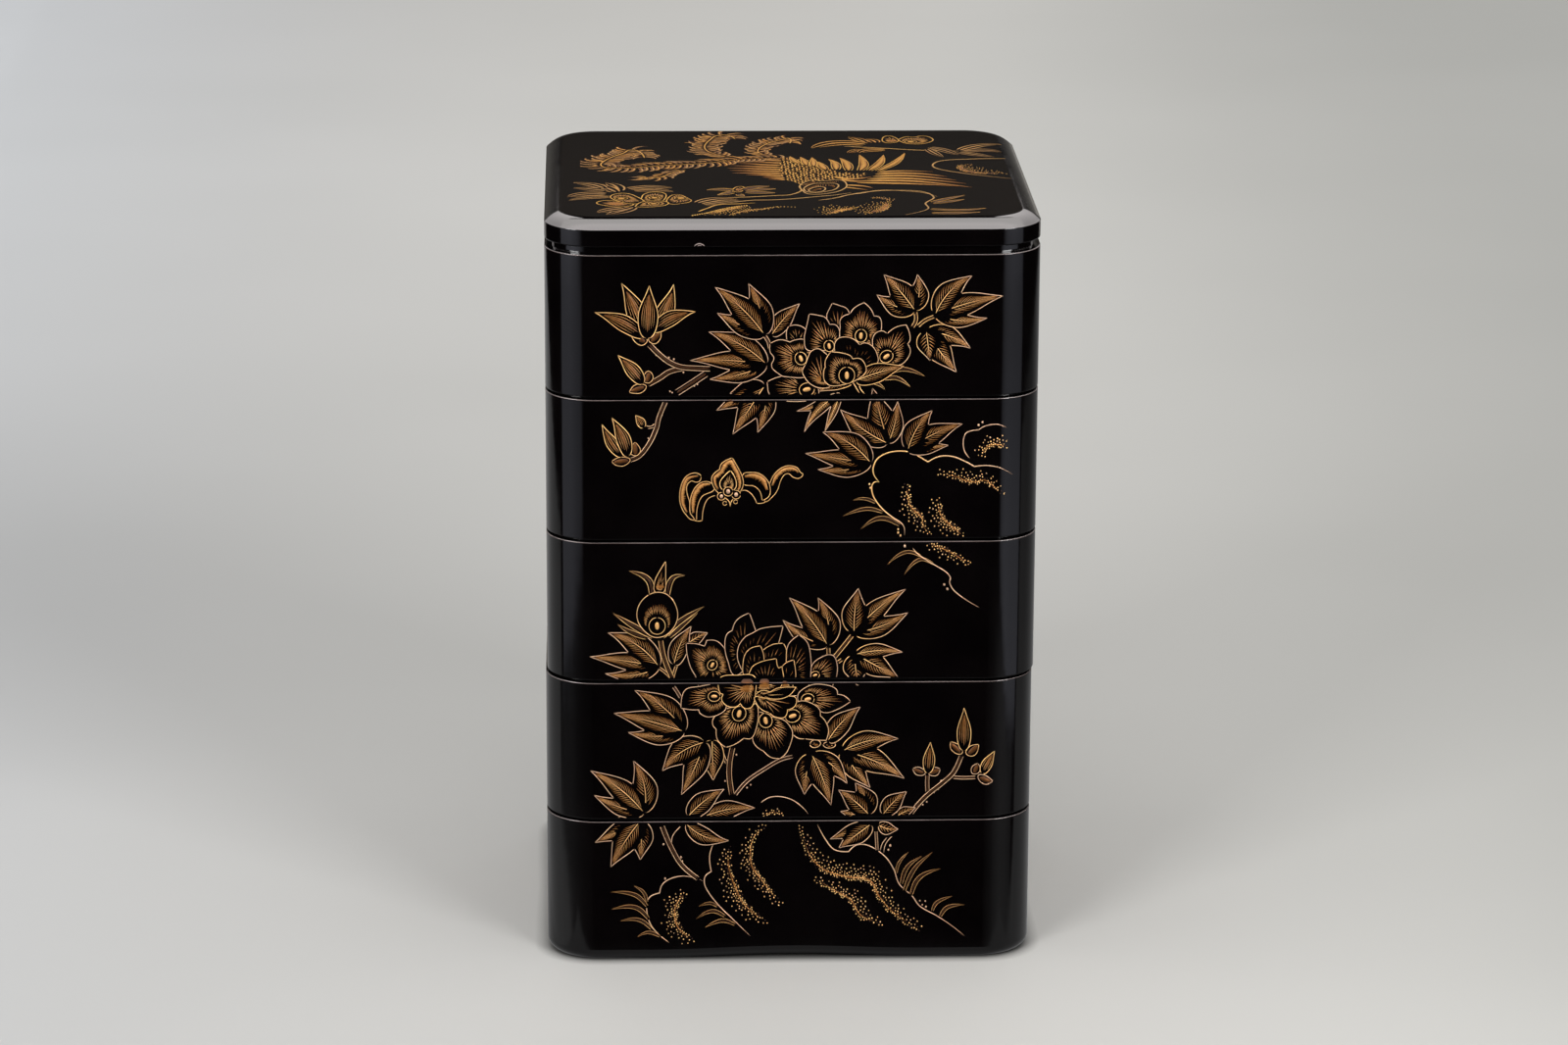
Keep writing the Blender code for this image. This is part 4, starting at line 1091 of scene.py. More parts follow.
def phoenix(t):
    """Phoenix on the lid, flying to the right with its tail plumes streaming left."""
    blades = [
        ([(6.6, 18.1), (4.5, 23.9), (2.9, 33.6)], 3.0),
        ([(9.5, 14.3), (8.9, 23.9), (7.5, 32.6)], 3.2),
        ([(12.6, 12.3), (12.9, 21.9), (12.6, 31.5)], 3.2),
        ([(17.6, 4.6), (16.1, 14.2), (15.1, 22.2)], 4.0),
        ([(22.3, 4.6), (22.2, 19.8), (19.8, 27.6)], 4.2),
        ([(27.6, 2.6), (27.5, 17.8), (25.0, 30.4)], 4.4),
        ([(32.6, 2.5), (35.0, 15.8), (34.1, 37.1)], 4.2),
        ([(36.5, 2.5), (41.9, 17.6), (44.9, 36.5)], 4.0),
        ([(40.3, 1.5), (49.0, 19.4), (54.7, 40.7)], 3.8),
    ]
    for points, width in blades:
        t.stroke(curve(points), width * 0.36, 0.76, 0.62, (0.25, 0.3), 0.35)
        blade(t, points, width, 0.72)
    scales(t, [(1.3, 33.3), (4.8, 31.7), (8.2, 29.3), (11.8, 22.9), (15.5, 18.0), (18.2, 8.0), (26.2, -2.1),
        (36.1, -5.5), (25.6, -15.8), (19.4, -16.5), (10.0, -21.2), (6.0, -26.1), (2.8, -19.6), (-0.3, -11.1),
        (-1.7, -1.7), (-1.8, 10.6), (-0.4, 24.0)], 2.8, 5.2, 0.8)
    for points in (
        [(4.8, -28.9, 1), (10.1, -18.2), (15.8, -19.4), (20.1, -17.6), (23.5, -18.0), (25.3, -25.5),
            (24.3, -34.7), (18.9, -43.7), (9.0, -47.2), (5.5, -38.4)],
        [(6.4, -34.4, 1), (11.0, -25.3), (16.4, -24.4), (20.9, -25.4), (21.3, -32.8), (17.6, -40.1),
            (9.1, -43.6)],
        [(8.2, -38.5, 1), (11.1, -33.0), (14.5, -31.8), (15.7, -36.4), (13.7, -41.5), (9.9, -42.7)],
    ):
        t.stroke(curve(points, closed=True), 0.36, 0.62, 0.58, CLOSED, pale=True)
    for points in (
        [(5.9, -38.4), (10.9, -28.0), (16.3, -27.2), (20.2, -28.2), (20.5, -33.7)],
        [(5.3, -30.3), (10.0, -21.0), (15.7, -22.0), (20.0, -20.2), (23.1, -20.2)],
        [(8.5, -40.3), (11.1, -35.8), (14.2, -34.5), (15.1, -37.3)],
    ):
        fringe(t, points, 4.0, 1.2, 0.54, -1)
    for points, width in (
        ([(39.7, -1.7), (49.5, 1.5), (64.9, -0.6)], 1.1),
        ([(38.7, -5.7), (49.3, -3.4), (59.5, -5.1), (70.3, -11.2)], 1.7),
        ([(37.3, -10.4), (49.0, -8.8), (59.1, -10.7), (74.1, -19.3)], 1.7),
        ([(34.8, -15.2), (48.6, -14.3), (58.8, -16.7), (77.8, -26.2)], 1.8),
        ([(32.3, -19.3), (48.3, -19.5), (58.5, -21.9), (79.9, -34.2)], 1.8),
        ([(29.8, -23.3), (48.0, -25.1), (58.2, -26.9), (74.0, -31.4)], 1.6),
        ([(25.0, -28.2), (32.5, -30.7), (36.5, -34.8)], 1.3),
        ([(24.4, -32.8), (29.2, -35.7), (34.0, -38.8)], 0.9),
        ([(20.4, -10.5), (27.9, -15.3), (37.3, -10.7)], 1.6),
        ([(23.3, -16.1), (29.9, -20.3), (36.9, -18.2)], 1.6),
    ):
        t.stroke(curve(points), width, 1.0, 0.5, (0.15, 0.6), 0.22)
    for points, width in (
        ([(-1.0, -17.1), (-4.4, -15.7), (-8.6, -15.7)], 1.2),
        ([(-1.0, -13.5), (-4.3, -12.4), (-11.1, -11.2)], 1.5),
        ([(-1.3, -8.7), (-6.0, -7.9), (-11.3, -6.3), (-18.2, -5.6)], 1.7),
        ([(-1.5, -4.0), (-7.8, -3.3), (-15.4, -2.1), (-23.9, -2.0)], 1.7),
        ([(-1.5, 0.7), (-9.6, 1.6), (-17.2, 2.9), (-24.9, 3.7)], 1.6),
        ([(-1.7, 5.3), (-9.4, 6.2), (-17.1, 7.8), (-25.8, 8.7)], 1.6),
        ([(-1.7, 9.9), (-9.3, 10.9), (-16.9, 12.7), (-24.3, 14.0)], 1.5),
        ([(-1.6, 14.4), (-9.1, 15.7), (-14.9, 17.7), (-21.0, 18.9)], 1.4),
        ([(-1.4, 19.2), (-7.0, 20.6), (-14.7, 21.9)], 1.3),
        ([(-1.1, 24.0), (-5.7, 25.2), (-11.5, 26.1)], 1.2),
    ):
        t.stroke(curve(points), width, 0.82, 0.46, (0.1, 0.6), 0.2)
    for points, width in (
        ([(-24.4, -36.7), (-30.5, -36.1), (-36.0, -37.8)], 3.0),
        ([(-24.5, -39.4), (-27.7, -43.9), (-31.6, -48.4)], 2.4),
    ):
        blade(t, points, width, 0.6)
    plume(t, [(-62.0, 31.6), (-63.9, 44.3), (-67.5, 49.3), (-71.1, 42.5), (-76.2, 33.8), (-79.8, 25.1),
        (-81.5, 16.5), (-79.4, 10.8), (-74.8, 9.8), (-69.4, 9.3), (-61.7, 11.9), (-53.9, 14.8), (-43.5, 16.9),
        (-32.5, 20.6), (-22.6, 25.9), (-12.8, 29.0), (-3.0, 29.8), (0.8, 26.9)], 18.0)
    plume(t, [(-20.5, 73.8), (-24.5, 82.5), (-28.9, 80.6), (-31.6, 72.6), (-33.8, 63.6), (-34.7, 54.7),
        (-33.6, 46.2), (-30.6, 40.3), (-27.2, 37.0), (-23.4, 33.0)], 16.0)
    plume(t, [(3.9, 63.1), (3.9, 74.7), (0.6, 71.5), (-4.3, 66.2), (-7.7, 59.7), (-10.3, 51.8), (-10.9, 43.6),
        (-8.4, 38.1), (-4.6, 33.7)], 13.0)
    plume(t, [(-65.4, -12.6), (-60.8, -12.1), (-56.2, -11.6), (-53.0, -6.6), (-50.3, -1.0), (-43.7, 5.5)],
        9.0)
    for points in (
        [(-88.1, 24.3), (-84.0, 26.7), (-80.2, 23.2)],
        [(-86.2, 12.2), (-82.5, 16.5), (-79.4, 17.5)],
        [(-83.2, 36.4), (-79.4, 33.8), (-76.2, 35.7)],
        [(-43.9, 65.3), (-38.3, 66.1), (-33.1, 69.6)],
        [(-41.6, 49.5), (-37.8, 53.4), (-34.2, 56.7)],
        [(-37.0, 80.1), (-33.7, 78.6), (-30.9, 77.6)],
        [(-17.2, 51.5), (-13.4, 51.8), (-9.8, 54.4)],
        [(-14.9, 62.4), (-9.9, 63.3), (-5.6, 64.2)],
        [(-16.1, 40.1), (-13.0, 41.6), (-10.2, 42.6)],
    ):
        t.stroke(curve(points[::-1]), 1.1, 0.85, 0.7, (0.1, 0.7), 0.2)


def streaks(sheet, points, width, tone):
    """Leaf seen almost edge-on: a few pointed streaks along it, with dark gaps between them."""
    middle = curve(points)
    side = headings(middle)[1] * width / 2
    spread = np.sin(math.pi * np.linspace(0.12, 1.0, len(middle)) ** 0.9)[:, None] ** 0.7
    for across, thick in ((-1.0, 0.50), (0.0, 0.75), (1.0, 0.50)):
        light = tone + sheet.dice.uniform(-0.10, 0.14)
        last = len(middle) - int(sheet.dice.uniform(0.0, 0.12) * len(middle)) * int(abs(across))
        streak = middle + side * across * spread
        sheet.stroke(streak[:last], thick * width / 6, light, light - 0.08, (0.1, 0.5), 0.16,
            pale=tone < 0.6)
    sheet.hide_behind(np.vstack([middle + side * spread, (middle - side * spread)[::-1]]))


def lid_flowers(t):
    """Flowers, leaves and rocks along the lid's front and back."""
    petal(t, [(-67.1, -72.1, 1), (-64.4, -62.7), (-59.4, -59.7), (-53.1, -62.9), (-54.7, -69.6),
        (-61.5, -72.7)], (-59.1, -65.7), 1.2, 0.92, 0.9, 1.0, 0.55)
    petal(t, [(-73.0, -62.2, 1), (-77.4, -53.2), (-75.9, -46.3), (-71.0, -44.2), (-66.1, -51.5),
        (-62.5, -62.4, 1), (-67.8, -66.2)], (-72.9, -54.7), 1.3, 0.92, 0.9, 1.0, 0.5, tilt=0)
    petal(t, [(-62.5, -62.4), (-63.8, -50.1), (-61.1, -42.9), (-56.6, -41.7), (-53.6, -46.7),
        (-54.9, -59.8, 1)], (-58.6, -53.5), 1.2, 0.92, 0.9, 1.0, 0.55)
    petal(t, [(-53.5, -61.1), (-51.0, -48.5), (-48.0, -47.3), (-44.8, -53.7), (-43.0, -60.9),
        (-47.5, -65.8, 1), (-51.3, -67.0)], (-47.2, -54.5), 1.3, 0.8, 0.9, 1.0, 0.5, tilt=0)
    petal(t, [(-83.5, -64.2), (-79.7, -58.9), (-73.0, -62.2), (-67.8, -67.7), (-73.8, -72.0), (-79.4, -69.6)],
        (-75.2, -65.8), 0.0, 0.85, 0.9)
    for points, width in (
        ([(-80.4, -33.1), (-85.7, -25.7), (-93.7, -21.9)], 6.0),
        ([(-79.6, -38.6), (-86.8, -34.8), (-93.6, -33.3)], 6.0),
        ([(-79.3, -45.9), (-88.7, -45.8), (-96.2, -52.0)], 7.0),
        ([(-77.4, -51.4), (-87.9, -53.0), (-95.4, -58.3)], 5.0),
        ([(-75.1, -41.4), (-79.6, -31.3), (-82.6, -23.9)], 6.0),
        ([(-73.9, -38.7), (-75.8, -27.7), (-79.6, -21.7)], 6.5),
        ([(-69.8, -35.1), (-60.2, -31.6), (-50.4, -33.2)], 6.5),
        ([(-67.5, -38.8), (-58.4, -37.5), (-50.2, -41.8)], 6.0),
        ([(-71.6, -74.7), (-77.5, -78.2), (-83.5, -83.4)], 6.5),
        ([(-67.8, -73.0), (-73.8, -81.8), (-79.4, -87.8)], 6.5),
        ([(-40.2, -64.5), (-31.7, -56.6), (-22.7, -57.2)], 6.5),
        ([(-38.0, -68.1), (-29.6, -62.9), (-22.1, -59.4)], 5.0),
    ):
        streaks(t, points, width, 0.58)
    for points, width in (
        ([(-24.5, -38.5), (-30.5, -36.6), (-36.0, -37.8)], 4.0),
        ([(-24.6, -43.1), (-27.7, -45.8), (-31.6, -48.4)], 3.4),
        ([(-19.9, -37.7), (-14.5, -32.3), (-8.3, -30.5)], 4.5),
        ([(-19.6, -39.5), (-12.7, -36.9), (-5.5, -36.1)], 4.5),
        ([(-19.3, -42.3), (-12.9, -43.3), (-6.1, -44.3)], 4.5),
        ([(-22.5, -46.8), (-21.0, -49.5), (-19.8, -51.3)], 3.0),
    ):
        blade(t, points, width, 0.65)
    petal(t, [(-24.5, -39.4), (-22.8, -31.8), (-20.5, -30.7), (-19.3, -34.0), (-20.0, -38.6), (-22.3, -42.2)],
        (-21.6, -37.3), 0.0, 0.85, 0.8)
    line(t, [(-27.9, -53.9), (-16.6, -52.3), (-5.6, -49.7), (0.2, -48.0), (5.0, -39.9), (4.6, -30.7),
        (6.3, -27.0), (8.6, -25.2)], 0.7, 0.6)
    line(t, [(-26.7, -64.7), (-17.2, -59.5), (-7.7, -58.7), (1.7, -56.2), (10.1, -52.7), (19.0, -49.2),
        (26.8, -43.9)], 0.7, 0.55)
    line(t, [(11.5, -59.9), (20.0, -54.6), (25.5, -48.4), (31.8, -44.8), (37.7, -40.0), (45.3, -39.7),
        (57.1, -44.3), (63.4, -53.5)], 0.7, 0.55, 0.45)
    line(t, [(-40.5, -82.3), (-36.3, -75.3), (-31.3, -68.2), (-23.0, -66.6), (-15.5, -64.9)], 0.8, 0.75)
    dots(t, curve([(-42.9, -89.8), (-36.9, -85.0), (-30.8, -78.0), (-24.7, -72.8), (-19.4, -70.2)], step=1.3),
        0.5, 0.95)
    dots(t, curve([(-25.8, -86.9), (-21.9, -81.7), (-17.7, -78.2), (-12.1, -76.5), (-6.4, -73.0),
        (1.1, -73.7)], step=1.5), 0.34, 0.85)
    stipple(t, [(-38.4, -87.6), (-30.8, -79.8), (-24.7, -74.5), (-18.2, -70.2)], -4.0, 200, 0.85)
    stipple(t, [(-27.3, -89.5), (-22.0, -82.5), (-17.8, -79.1), (-12.1, -76.5), (-6.4, -73.0)], -1.5, 160,
        0.75)
    stipple(t, [(13.6, -89.2), (18.6, -84.9), (22.5, -80.6), (25.6, -78.0), (28.5, -73.6)], 6.0, 220, 0.85)
    stipple(t, [(28.8, -89.0), (35.7, -84.3), (39.8, -79.1), (41.8, -69.3), (41.8, -62.2)], 6.0, 240, 0.7)
    stipple(t, [(33.9, -54.8), (37.2, -55.8), (40.5, -57.7), (42.2, -62.2)], 2.0, 60, 0.55)
    petal(t, [(46.2, 72.5, 1), (48.6, 79.5), (51.1, 78.4), (53.4, 70.4), (51.5, 64.4), (47.2, 64.5)],
        (50.5, 68.4), 0.0, 0.85, 0.8, 1.0, 0.5)
    petal(t, [(53.4, 70.4, 1), (57.4, 77.3), (61.0, 76.7), (64.6, 79.3), (68.1, 76.2), (68.8, 68.2),
        (63.2, 61.3), (56.9, 62.3)], (58.8, 66.3), 1.3, 0.85, 0.8, 1.0, 0.5, tilt=0)
    for points, width in (
        ([(38.3, 60.6), (25.4, 63.8), (13.4, 52.1)], 9.0),
        ([(38.1, 65.6), (34.5, 72.6), (30.8, 77.7)], 5.0),
        ([(42.8, 64.5), (40.7, 70.6), (38.7, 68.6)], 5.0),
        ([(46.3, 48.6), (37.9, 46.8), (34.1, 41.0)], 6.0),
        ([(34.9, 48.8), (32.4, 45.9), (29.0, 41.0)], 4.0),
    ):
        streaks(t, points, width, 0.76)
    for points, width in (
        ([(66.6, 53.5), (72.3, 46.8), (78.6, 35.7)], 5.0),
        ([(65.4, 49.1), (68.7, 38.1), (71.3, 31.5)], 4.0),
        ([(79.8, 46.7), (89.9, 57.6), (99.8, 59.7)], 6.0),
        ([(79.7, 44.5), (90.8, 46.5), (98.4, 42.0)], 6.0),
        ([(79.1, 42.3), (87.4, 35.6), (94.1, 31.2)], 5.0),
    ):
        streaks(t, points, width, 0.56)
    line(t, [(27.9, 56.2), (45.3, 51.6), (62.6, 46.9), (79.7, 44.5)], 0.8, 0.6)
    line(t, [(99.1, 27.8), (83.3, 27.0), (69.5, 22.9), (65.6, 10.0), (73.6, -0.7), (97.9, -15.8)], 0.7, 0.6,
        0.45)
    stipple(t, [(96.6, -5.3), (85.4, -5.1), (78.0, 1.3), (76.6, 12.0), (82.5, 16.2)], -5.0, 200, 0.6)
    line(t, [(19.8, -53.8), (31.7, -43.8), (42.9, -39.9), (56.8, -42.1), (61.6, -54.4), (57.4, -66.4),
        (57.5, -78.4), (47.2, -90.1)], 0.7, 0.55, 0.45)
    for points in (
        [(60.1, -64.5), (68.2, -56.5), (75.4, -50.5)],
        [(60.0, -66.5), (68.6, -62.6), (74.8, -58.6)],
        [(58.8, -78.4), (71.6, -80.6), (82.8, -76.8)],
        [(58.7, -86.3), (70.4, -86.5), (79.7, -84.7)],
    ):
        blade(t, points, 3.0, 0.5)


# Trays and lid

def plan_ring(inset, cuts):
    """Points round the box at an inset, anticlockwise from the front's left end, as (x, y)."""
    radius = CORNER_RADIUS - inset
    points = []
    sides = [
        ((-HALF_X, -HALF_Y), (1, 0), (0, -1), HALF_X),
        ((HALF_X, -HALF_Y), (0, 1), (1, 0), HALF_Y),
        ((HALF_X, HALF_Y), (-1, 0), (0, 1), HALF_X),
        ((-HALF_X, HALF_Y), (0, -1), (-1, 0), HALF_Y),
    ]
    for (cx, cy), (ax, ay), (nx, ny), half in sides:
        for along in (-half, *cuts, half):
            along += half
            points.append((cx + ax * along + nx * radius, cy + ay * along + ny * radius))
        ex, ey = cx + ax * 2 * half, cy + ay * 2 * half
        for k in range(1, CORNER_STEPS):
            turn = math.pi / 2 * k / CORNER_STEPS
            c, s = math.cos(turn) * radius, math.sin(turn) * radius
            points.append((ex + nx * c + ax * s, ey + ny * c + ay * s))
    return points


def arc(centre, radius, start, end, steps):
    """Part of a circle in the (inset, height) plane, angles in degrees."""
    turns = [math.radians(start + (end - start) * k / steps) for k in range(steps + 1)]
    return [(centre[0] + radius * math.cos(a), centre[1] + radius * math.sin(a)) for a in turns]


def sweep(name, profile, slots, materials, cuts=(), lift=None):
    """Closed solid whose profile of (inset, height) runs from a floor round the wall to an underside.

    slots has one material slot for each stretch of the profile and for the faces at its two ends. cuts
    are more places along each side, and lift may raise a point.
    """
    verts, faces, rings = [], [], []
    for inset, height in profile:
        row = []
        for x, y in plan_ring(inset, cuts):
            row.append(len(verts))
            verts.append((x, y, height + (lift(x, y, height) if lift else 0.0)))
        rings.append(row)
    count = len(rings[0])
    for low, high in zip(rings, rings[1:]):
        for k in range(count):
            faces.append((low[k], low[(k + 1) % count], high[(k + 1) % count], high[k]))
    faces += [tuple(reversed(rings[0])), tuple(rings[-1])]
    face_slots = [*np.repeat(slots[1:-1], count), slots[0], slots[-1]]
    mesh = bpy.data.meshes.new(name)
    mesh.from_pydata(verts, [], faces)
    mesh.polygons.foreach_set("material_index", face_slots)
    mesh.validate()
    for material in materials:
        mesh.materials.append(material)
    bm = bmesh.new()
    bm.from_mesh(mesh)
    bmesh.ops.recalc_face_normals(bm, faces=bm.faces)
    bm.to_mesh(mesh)
    bm.free()
    mesh.shade_smooth()
    mesh.set_sharp_from_angle(angle=math.radians(SHARP_ANGLE))
    made = bpy.data.objects.new(name, mesh)
    bpy.context.scene.collection.objects.link(made)
    even = made.modifiers.new("even", "WEIGHTED_NORMAL")
    even.weight = FLAT_WEIGHT
    even.keep_sharp = True
    return made


def tray_profile(top, recess_depth, foot):
    """Profile and material slots of a tray. top is the shoulder's height above the tray's foot."""
    lip = top + LIP_HEIGHT
    floor_top = recess_depth + FLOOR_THICKNESS
    r = EDGE_ROUND
    profile, slots = [], []

    def run(points, slot=OUTSIDE):
        profile.extend(points)
        slots.extend([slot] * len(points))

    run(arc((WALL + FLOOR_FILLET, floor_top + FLOOR_FILLET), FLOOR_FILLET, 270, 180, 5), INSIDE)
    run(arc((WALL - r, lip - r), r, 0, 90, 3), INSIDE)
    run(arc((SHOULDER + r, lip - r), r, 90, 180, 3))
    run([(SHOULDER, top + BEVEL), (SHOULDER - BEVEL, top)])
    rim_centre = (RIM_ROUND + SKIN, top - RIM_ROUND)
    run(arc(rim_centre, RIM_ROUND, 90, 135, 2))
    run(arc(rim_centre, RIM_ROUND, 135, 180, 2)[1:], RIM)
    if foot:
        run([(SKIN, ARCH_END)])
        run(arc((FOOT_FILLET + SKIN, FOOT_FILLET), FOOT_FILLET, 180, 270, 10))
    else:
        run(arc((r + SKIN, r), r, 180, 270, 4))
    recess = FOOT_WIDTH if foot else RECESS_INSET
    run([(recess - BEVEL, 0.0), (recess, BEVEL), (recess, recess_depth)])
    return profile, slots + [OUTSIDE]


def shoulder_height(inset):
    """Height on the lid's shoulder above its skirt, at a distance in from the outer wall."""
    share = min(1.0, max(0.0, inset / LID_SHOULDER_WIDTH))
    return LID_SHOULDER_RISE * (1.0 - (1.0 - share) ** 2)


def lid_profile():
    """Profile of the lid, from the ceiling of its recess round to its top."""
    r = EDGE_ROUND
    profile = [(RECESS_INSET, LID_RECESS_DEPTH), (RECESS_INSET, BEVEL), (RECESS_INSET - BEVEL, 0.0)]
    profile += arc((r + SKIN, r), r, 270, 180, 4)
    slope = 2 * LID_SHOULDER_RISE / LID_SHOULDER_WIDTH
    turn = 90 - math.degrees(math.atan(slope))
    back = ARRIS_ROUND * math.tan(math.radians(turn / 2))
    profile += arc((ARRIS_ROUND + SKIN, SKIRT_HEIGHT - back), ARRIS_ROUND, 180, 180 - turn, 4)
    for k in range(1, SHOULDER_STEPS + 1):
        inset = SKIN + LID_SHOULDER_WIDTH * k / SHOULDER_STEPS
        profile.append((inset, SKIRT_HEIGHT + shoulder_height(inset - SKIN) - SKIN))
    return profile


def arch_lift(x, y, height):
    """Rise of the foot's shallow arch, which fades out up the wall."""
    along = x if abs(y) > HALF_Y + CORNER_RADIUS - FOOT_WIDTH - MARGIN else y
    share = min(1.0, abs(along) / (ARCH_SPAN / 2))
    return ARCH_RISE * math.cos(share * math.pi / 2) ** 2 if height <= FOOT_FILLET + MARGIN else 0.0


def stand_for(piece, node):
    """Puts a piece made at the origin where a CAD node stands, in its mesh, and in the node's place."""
    low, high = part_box(node)
    middle = ((low[0] + high[0]) / 2, (low[1] + high[1]) / 2, low[2])
    piece.data.transform(Matrix.Translation(middle))
    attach(piece, "root")
    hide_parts(node)


black = lacquer("black_lacquer", (0.0010, 0.0006, 0.0007), (0.0018, 0.0012, 0.0013), 0.07, 0.13)
# Brown lacquer on the rounded rims, where the black is rubbed through, made paler than the wear alone: partly
# painted highlight along the rims.
worn_and_highlit = lacquer("worn_and_highlit_rim", (0.060, 0.040, 0.036), (0.150, 0.112, 0.104), 0.20, 0.34, 60.0)
vermilion = lacquer("vermilion_inside", (0.30, 0.030, 0.012), (0.36, 0.042, 0.018), 0.14, 0.24)

arch_cuts = [ARCH_SPAN * (k / ARCH_STEPS - 0.5) for k in range(ARCH_STEPS + 1)]
for node in TIERS:
    low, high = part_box(node)
    top = high[2] - low[2] - LIP_HEIGHT
    if node == TIERS[-1]:
        profile, slots = tray_profile(top, FOOT_RECESS_DEPTH, True)
        tray = sweep(node + "_tray", profile, slots, [black, worn_and_highlit, vermilion], arch_cuts, arch_lift)
    else:
        profile, slots = tray_profile(top, RECESS_DEPTH, False)
        tray = sweep(node + "_tray", profile, slots, [black, worn_and_highlit, vermilion])
    stand_for(tray, node)

profile = lid_profile()
stand_for(sweep("lid_cover", profile, [OUTSIDE] * (len(profile) + 1), [black]), "lid")


def on_wall(across, height, lift):
    """Places on the outer wall, for distances round it from the middle of the front."""
    quarter = CORNER_RADIUS * math.pi / 2
    stretches = [HALF_X, quarter, 2 * HALF_Y, quarter, 2 * HALF_X, quarter, 2 * HALF_Y, quarter, HALF_X]
    starts = np.concatenate([[0.0], np.cumsum(stretches)])
    radius = CORNER_RADIUS - SKIN
    corners = [(HALF_X, -HALF_Y), (HALF_X, HALF_Y), (-HALF_X, HALF_Y), (-HALF_X, -HALF_Y)]
    out = []
    for s, z, up in zip(np.mod(across, starts[-1]), height, lift):
        k = min(8, int(np.searchsorted(starts, s, side="right")) - 1)
        along = s - starts[k]
        facing = (k // 2) * math.pi / 2
        if k % 2:
            facing += along / CORNER_RADIUS
            cx, cy = corners[k // 2]
        elif k == 0:
            cx, cy = along, -HALF_Y
        elif k == 8:
            cx, cy = -HALF_X + along, -HALF_Y
        else:
            cx, cy = corners[k // 2 - 1]
            cx, cy = cx + along * math.cos(facing), cy + along * math.sin(facing)
        nx, ny = math.sin(facing), -math.cos(facing)
        out.append((cx + nx * (radius + up), cy + ny * (radius + up), z))
    return out


def on_tier(node):
    """The wall of one tray, with its small shift to a side."""
    low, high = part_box(node)
    shift = (low[0] + high[0]) / 2

    def surface(across, height, lift):
        return [(x + shift, y, z) for x, y, z in on_wall(across, height, lift)]

    return surface


def on_lid(across, back, lift):
    """Places on the lid's top, which is level and curves down towards its edges."""
    low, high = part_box("lid")
    shift = (low[0] + high[0]) / 2
    out = []
    for x, y, up in zip(across, back, lift):
        dx, dy = abs(x) - HALF_X, abs(y) - HALF_Y
        if dx > 0 and dy > 0:
            inset = CORNER_RADIUS - math.hypot(dx, dy)
        else:
            inset = CORNER_RADIUS - max(dx, dy)
        out.append((x + shift, y, low[2] + SKIRT_HEIGHT + shoulder_height(inset) - SKIN + up))
    return out


wall_drawing = Sheet(5)
for draw in (
    lower_peony, tulip_bud, upper_peony, top_tray_leaves, bat, second_tray, third_and_fourth_trays,
    lowest_tray, sides_and_back,
):
    draw(wall_drawing)
for node in TIERS:
    low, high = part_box(node)
    bottom = low[2] * MM + (FOOT_FILLET * MM if node == TIERS[-1] else SEAM_MARGIN)
    top = (high[2] - LIP_HEIGHT) * MM - SEAM_MARGIN
    wall_drawing.build(node + "_gold", on_tier(node), bottom, top, gold)

lid_drawing = Sheet(9, LID_WEIGHT)
lid_flowers(lid_drawing)
phoenix(lid_drawing)
lid_drawing.build("lid_gold", on_lid, -math.inf, math.inf, lid_gold)

# The chip on the skirt's lower edge, at the left of the front
bare = lacquer("bare_ground", (0.300, 0.225, 0.205), (0.400, 0.310, 0.285), 0.45, 0.60, 400.0)
chip = Sheet(3)
chip_edge = [(-42.4, 319.8), (-41.7, 320.6), (-40.2, 321.0), (-38.8, 320.6), (-38.0, 319.9)]
chip.stroke(curve(chip_edge), 0.4, 1.0)
chip.stroke(curve([(-41.2, 320.0), (-40.2, 320.3), (-39.2, 320.0)]), 0.2, 0.5)
chip.build("lid_chip", on_tier("lid"), -math.inf, math.inf, bare)


# Studio
# The lacquer is nearly black, so it shows what it reflects: cards that only gloss sees stand round the
# box, set from how bright the photo's lacquer is. The lamps light the gold and the paper, and gloss
# doesn't see them.

COOL, WARM, WARMER = (0.96, 0.98, 1.12), (1.04, 0.98, 0.90), (1.06, 0.92, 0.80)
WING_TINT = (1.04, 0.98, 0.97)
CARD_DISTANCE = 1.3
LOW_CARD_DISTANCE = 1.29
BACK_CARD_DISTANCE = 1.35
WINDOW_DISTANCE = 1.6
UPRIGHT_STEP = 2  # degrees between the uprights of a card that stands round the box
CARD_FOOT = -0.60
SKY_HEIGHT = 1.65
FOOT_CARD_HEIGHT = -0.05
PAPER_HALF = 7
QUARTERS = ((-1, -1), (1, -1), (1, 1), (-1, 1))


def grey(v):
    return (v, v, v)


def stage_mesh(name, verts, faces, material):
    mesh = bpy.data.meshes.new(name)
    mesh.from_pydata(verts, [], faces)
    mesh.materials.append(material)
    made = bpy.data.objects.new(name, mesh)
    bpy.context.scene.collection.objects.link(made)
    return made


def light_nodes(name):
    """Material that only gives light, and its emission node."""
    n = Nodes(name)
    n.tree.nodes.remove(n.shader)
    emission = n.add("ShaderNodeEmission")
    n.link(emission.outputs[0], n.tree.nodes["Material Output"].inputs["Surface"])
    return n, emission


def card(name, verts, faces, material):
    """Card that only shows in the lacquer's gloss."""
    made = stage_mesh(name, verts, faces, material)
    made.visible_camera = False
    made.visible_diffuse = False
    made.visible_shadow = False
    made.visible_transmission = False
    return made


def lit_card(name, verts, faces, levels, tint=(1.0, 1.0, 1.0)):
    """Card with its own strength of light at each vertex."""
    n, emission = light_nodes(name + "_light")
    level = n.add("ShaderNodeAttribute", attribute_name="level")
    n.link(level.outputs["Fac"], emission.inputs["Strength"])
    emission.inputs["Color"].default_value = (*tint, 1.0)
    made = card(name, verts, faces, n.material)
    made.data.attributes.new("level", "FLOAT", "POINT").data.foreach_set("value", levels)


